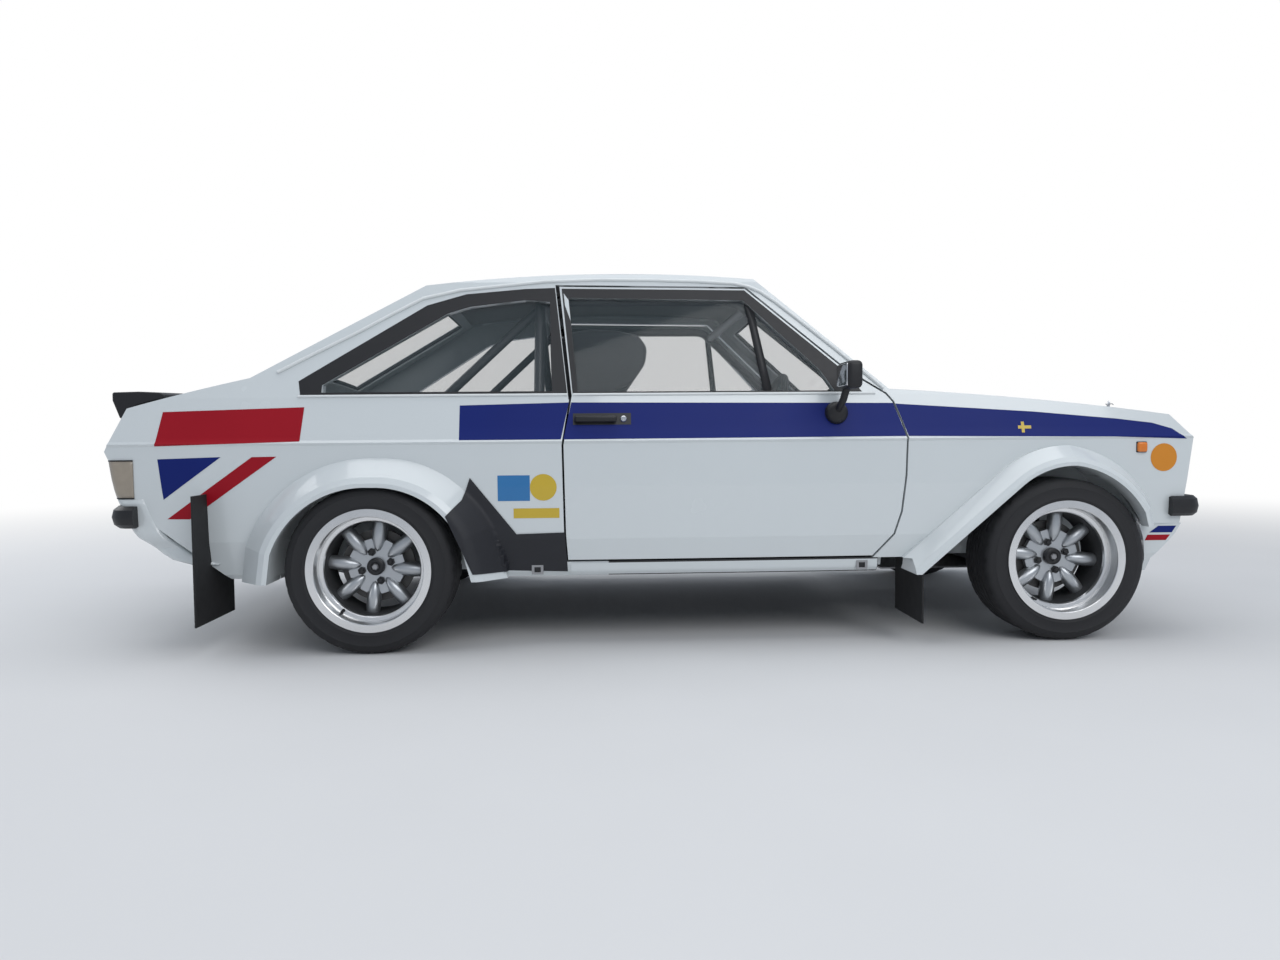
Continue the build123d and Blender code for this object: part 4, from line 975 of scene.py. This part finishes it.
# Spoiler over the boot lid's rear edge, clear of the body beside the lid
spoiler_half, lid_half = 0.676, 0.575
spoiler_top = [(-3.309, 0.903), (-3.304, 0.9065), (-3.220, 0.9085), (-3.150, 0.9050), (-3.128, 0.8960)]
spoiler_foot = [-3.130, -3.180, -3.230, -3.268, -3.286]
tail_nodes = ("boot_lid", "quarter_left", "quarter_right", "rear_panel")
ABOVE_TAIL = 1.2
bm = bmesh.new()
rings = []
for y in spread(-spoiler_half, spoiler_half, 35):
    drop = 0.010 * (y / spoiler_half) ** 2
    points = [(x, z - drop) for x, z in spoiler_top]
    for x in spoiler_foot:
        hits = [meet(node, at(x, y, ABOVE_TAIL), DOWN)[0] for node in tail_nodes]
        body_height = max([hit.z for hit in hits if hit is not None] + [0.0])
        gap = -0.004 if abs(y) < lid_half - 0.012 else 0.006
        height = (body_height if body_height > 0.78 else 0.80) + gap
        points.append((x, min(height, 0.886 - drop)))
    points.append((-3.309, max(points[-1][1], 0.868)))
    rings.append([bm.verts.new(at(x, y, z)) for x, z in points])
join(bm, rings, caps=True)
spoiler = new_piece("spoiler_blade", bm, TRIM_BLACK, "boot_lid", "black_plastic", replaces=("rear_spoiler",))
soften_edges(spoiler, 0.004, 40)

# Mud flap clamps
clamp_bolt = [(0.0, 0.010), (0.006, 0.009), (0.0075, 0.0065), (0.0075, 0.0055)]
for side, s in SIDES.items():
    for end, x, z, y in (("front", -0.518, 0.402, 0.700), ("rear", -2.970, 0.520, 0.790)):
        bm = bmesh.new()
        near, far = at(x - 0.0065, s * (y - 0.060), z - 0.012), at(x - 0.0032, s * (y + 0.060), z + 0.012)
        rounded_box(bm, near, far, 0.001)
        for j in (-0.04, 0.0, 0.04):
            lathe(bm, clamp_bolt, at(x, s * (y + j), z), (-1, 0, 0), 6)
        new_piece(f"flap_clamp_{end}_{side}", bm, STEEL, "body", "steel", smooth=25)


# Seats: padded shells, then a cushion and a back pad blown up a little, with sewn channels

def link_object(name, mesh):
    """A new object with a mesh, in the scene."""
    obj = bpy.data.objects.new(name, mesh)
    bpy.context.scene.collection.objects.link(obj)
    return obj


def bake_shape(obj):
    """An object's mesh with its modifiers carried out, which are then taken off."""
    graph = bpy.context.evaluated_depsgraph_get()
    mesh = bpy.data.meshes.new_from_object(obj.evaluated_get(graph))
    obj.modifiers.clear()
    return mesh


def even_mesh(obj, voxel):
    """Adds a remesh into even faces."""
    remesh = obj.modifiers.new("remesh", "REMESH")
    remesh.mode = "VOXEL"
    remesh.voxel_size = voxel


def soft_copy(name, node, voxel, rounds):
    """A node's shape, rounded and softened all over."""
    mesh = nodes[node].data.copy()
    mesh.materials.clear()
    mesh.materials.append(SEAT_CLOTH)
    obj = link_object(name, mesh)
    even_mesh(obj, voxel)
    smooth = obj.modifiers.new("smooth", "SMOOTH")
    smooth.factor = 0.5
    smooth.iterations = rounds
    obj.data = bake_shape(obj)
    for polygon in obj.data.polygons:
        polygon.use_smooth = True
    return obj


def blown_pad(name, size, voxel=0.006, pressure=4.0, cap=0.014, last_frame=20):
    """A flat pad, blown up by cloth simulation, in its own axes."""
    bm = bmesh.new()
    rounded_box(bm, Vector(size) * -0.5, Vector(size) * 0.5, 0.014, 3)
    mesh = bpy.data.meshes.new(name)
    bm.to_mesh(mesh)
    bm.free()
    obj = link_object(name, mesh)
    even_mesh(obj, voxel)
    obj.data = bake_shape(obj)
    settings = obj.modifiers.new("cloth", "CLOTH").settings
    settings.use_pressure = True
    settings.uniform_pressure_force = pressure
    settings.effector_weights.gravity = 0.0
    for number in range(1, last_frame + 1):
        bpy.context.scene.frame_set(number)
    blown = bake_shape(obj)
    for v, w in zip(obj.data.vertices, blown.vertices):
        move = w.co - v.co
        if move.length > cap:
            move = move.normalized() * cap
        v.co += move
    bpy.context.scene.frame_set(1)
    return obj


def sew_channels(obj, places, depth=0.006, width=0.007):
    """Sinks sewn lines into the front of a pad, square to its length."""
    for v in obj.data.vertices:
        if v.co.z > 0:
            sink = sum(exp(-((v.co.x - p) / width) ** 2) for p in places)
            v.co.z -= depth * min(1.0, sink)


PAD_HALF = 0.156
pads = [
    # name, length, thickness, middle, tilt about the car's width, channels
    ("cushion", 0.400, 0.040, (-1.325, 0.442), -1.0, (-0.12, -0.04, 0.04, 0.12)),
    ("back_pad", 0.560, 0.034, (-1.598, 0.765), 75.2, (-0.20, -0.12, -0.04, 0.04, 0.12, 0.20)),
]
blown = {}
for label, length, thickness, _, _, channels in pads:
    blown[label] = blown_pad(f"seat_{label}", (length, 2 * PAD_HALF, thickness))
    sew_channels(blown[label], channels)
shells = soft_copy("seat_shells", "seats", 0.010, 10)
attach(shells, "body")
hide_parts("seats")
wing_outline = [
    (-1.716, 0.890), (-1.600, 0.884), (-1.505, 0.925), (-1.456, 0.995), (-1.448, 1.055), (-1.478, 1.100),
    (-1.560, 1.119), (-1.660, 1.124), (-1.735, 1.110),
]
for side, s in SIDES.items():
    for k, inner in enumerate((-1, 1)):
        bm = bmesh.new()
        ends = [s * SEAT_Y + inner * 0.150, s * SEAT_Y + inner * 0.190]
        join(bm, [[bm.verts.new(at(x, y, z)) for x, z in wing_outline] for y in ends], caps=True)
        bmesh.ops.recalc_face_normals(bm, faces=bm.faces)
        bmesh.ops.bevel(bm, geom=list(bm.edges), offset=0.016, segments=4, profile=0.5, affect="EDGES")
        wing = new_piece(f"seat_head_wing_{k}_{side}", bm, SEAT_CLOTH, "body", "fabric", smooth=70)
for label, length, _, (x, z), tilt, _ in pads:
    a, b = length / 2 * 0.985, PAD_HALF * 0.985
    for side, s in SIDES.items():
        mesh = blown[label].data.copy()
        place = Matrix.Translation(at(x, s * SEAT_Y, z)) @ Matrix.Rotation(radians(tilt), 4, "Y")
        mesh.transform(place)
        mesh.materials.clear()
        mesh.materials.append(SEAT_PAD)
        obj = link_object(f"seat_{label}_{side}", mesh)
        for polygon in mesh.polygons:
            polygon.use_smooth = True
        finer = obj.modifiers.new("finer", "SUBSURF")
        finer.levels = 1
        finer.render_levels = 1
        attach(obj, "body")
        hem = walk([(-a, -b), (a, -b), (a, b), (-a, b)], (8, 8, 8, 8))
        edge = [place @ Vector((u, v, 0.017)) for u, v in hem]
        pipe(f"seat_{label}_piping_{side}", edge, 0.0032, SEAT_CLOTH, "body", 8, cyclic=True)
    bpy.data.objects.remove(blown[label])

# Camera, at the photograph's place
CAMERA_X, CAMERA_Y, CAMERA_Z = -1.632, -3.878, 0.741
YAW, PITCH, ROLL = 0.046, 0.052, -0.008
FOCAL_PIXELS, FRAME_PIXELS, SENSOR = 900.0, 1280.0, 36.0
forward = Vector((sin(YAW) * cos(PITCH), cos(YAW) * cos(PITCH), -sin(PITCH)))
right = Vector((cos(YAW), -sin(YAW), 0))
up = right.cross(forward)
right, up = right * cos(ROLL) + up * sin(ROLL), up * cos(ROLL) - right * sin(ROLL)
lens = bpy.data.cameras.new("camera")
lens.sensor_width = SENSOR
lens.lens = FOCAL_PIXELS / FRAME_PIXELS * SENSOR
camera = link_object("camera", lens)
turn = Matrix((right, up, -forward)).transposed().to_4x4()
camera.matrix_world = Matrix.Translation(at(CAMERA_X, CAMERA_Y, CAMERA_Z)) @ turn
bpy.context.scene.camera = camera

# Floor, which fades into white away from the car where the camera sees it
FLOOR_HALF, FADE_START, FADE_END = 40, 2.4, 9.0
floor_mesh = bpy.data.meshes.new("floor")
floor_corners = [(a * FLOOR_HALF, b * FLOOR_HALF, 0) for a, b in ((-1, -1), (1, -1), (1, 1), (-1, 1))]
floor_mesh.from_pydata(floor_corners, [], [(0, 1, 2, 3)])
floor = link_object("floor", floor_mesh)
floor_look = paint("floor_pale", (0.70, 0.70, 0.70), 0.85, vary=0.02, scale=2.0, bump=0.08, grain=40)
floor_mesh.materials.append(floor_look)
tree = floor_look.node_tree
link = tree.links.new
place = shader_node(tree, "TexCoord")
away = shader_node(tree, "VectorMath", operation="LENGTH")
fade = shader_node(
    tree, "MapRange", {"From Min": FADE_START, "From Max": FADE_END}, interpolation_type="SMOOTHSTEP"
)
rays = shader_node(tree, "LightPath")
seen = shader_node(tree, "Math", operation="MULTIPLY")
glow = shader_node(tree, "Emission", {"Strength": 1.0})
blend = shader_node(tree, "MixShader")
link(place.outputs["Object"], away.inputs[0])
link(away.outputs["Value"], fade.inputs["Value"])
link(fade.outputs["Result"], seen.inputs[0])
link(rays.outputs["Is Camera Ray"], seen.inputs[1])
link(seen.outputs["Value"], blend.inputs["Fac"])
link(tree.nodes["Principled BSDF"].outputs["BSDF"], blend.inputs[1])
link(glow.outputs["Emission"], blend.inputs[2])
link(blend.outputs["Shader"], tree.nodes["Material Output"].inputs["Surface"])

# Soft lamps
lamps = [
    # name, place, target, size, power
    ("key", (2.5, -6.0, 5.0), (0, 0, 0.6), (6, 4), 190),
    ("fill", (-6.0, 3.0, 4.5), (0, 0, 0.6), (5, 4), 120),
    ("top", (0, 0, 6.0), (0, 0, 0), (7, 5), 150),
]
for name, place, target, size, power in lamps:
    light = bpy.data.lights.new(name, "AREA")
    light.shape = "RECTANGLE"
    light.size, light.size_y = size
    light.energy = power
    lamp = link_object(name, light)
    lamp.location = place
    lamp.rotation_euler = (Vector(target) - Vector(place)).to_track_quat("-Z", "Y").to_euler()

# World: white where it is seen straight or through glass, a cool grey where it lights the car
world = bpy.data.worlds.new("world")
bpy.context.scene.world = world
world.use_nodes = True
tree = world.node_tree
rays = shader_node(tree, "LightPath")
seen = shader_node(tree, "Math", operation="MAXIMUM")
tint = shader_node(tree, "Mix", {"A": (0.40, 0.44, 0.50, 1), "B": (1, 1, 1, 1)}, data_type="RGBA")
tree.links.new(rays.outputs["Is Camera Ray"], seen.inputs[0])
tree.links.new(rays.outputs["Is Transmission Ray"], seen.inputs[1])
tree.links.new(seen.outputs["Value"], tint.inputs["Factor"])
tree.links.new(tint.outputs["Result"], tree.nodes["Background"].inputs["Color"])
tree.nodes["Background"].inputs["Strength"].default_value = 1.0
bpy.context.scene.view_settings.view_transform = "Standard"
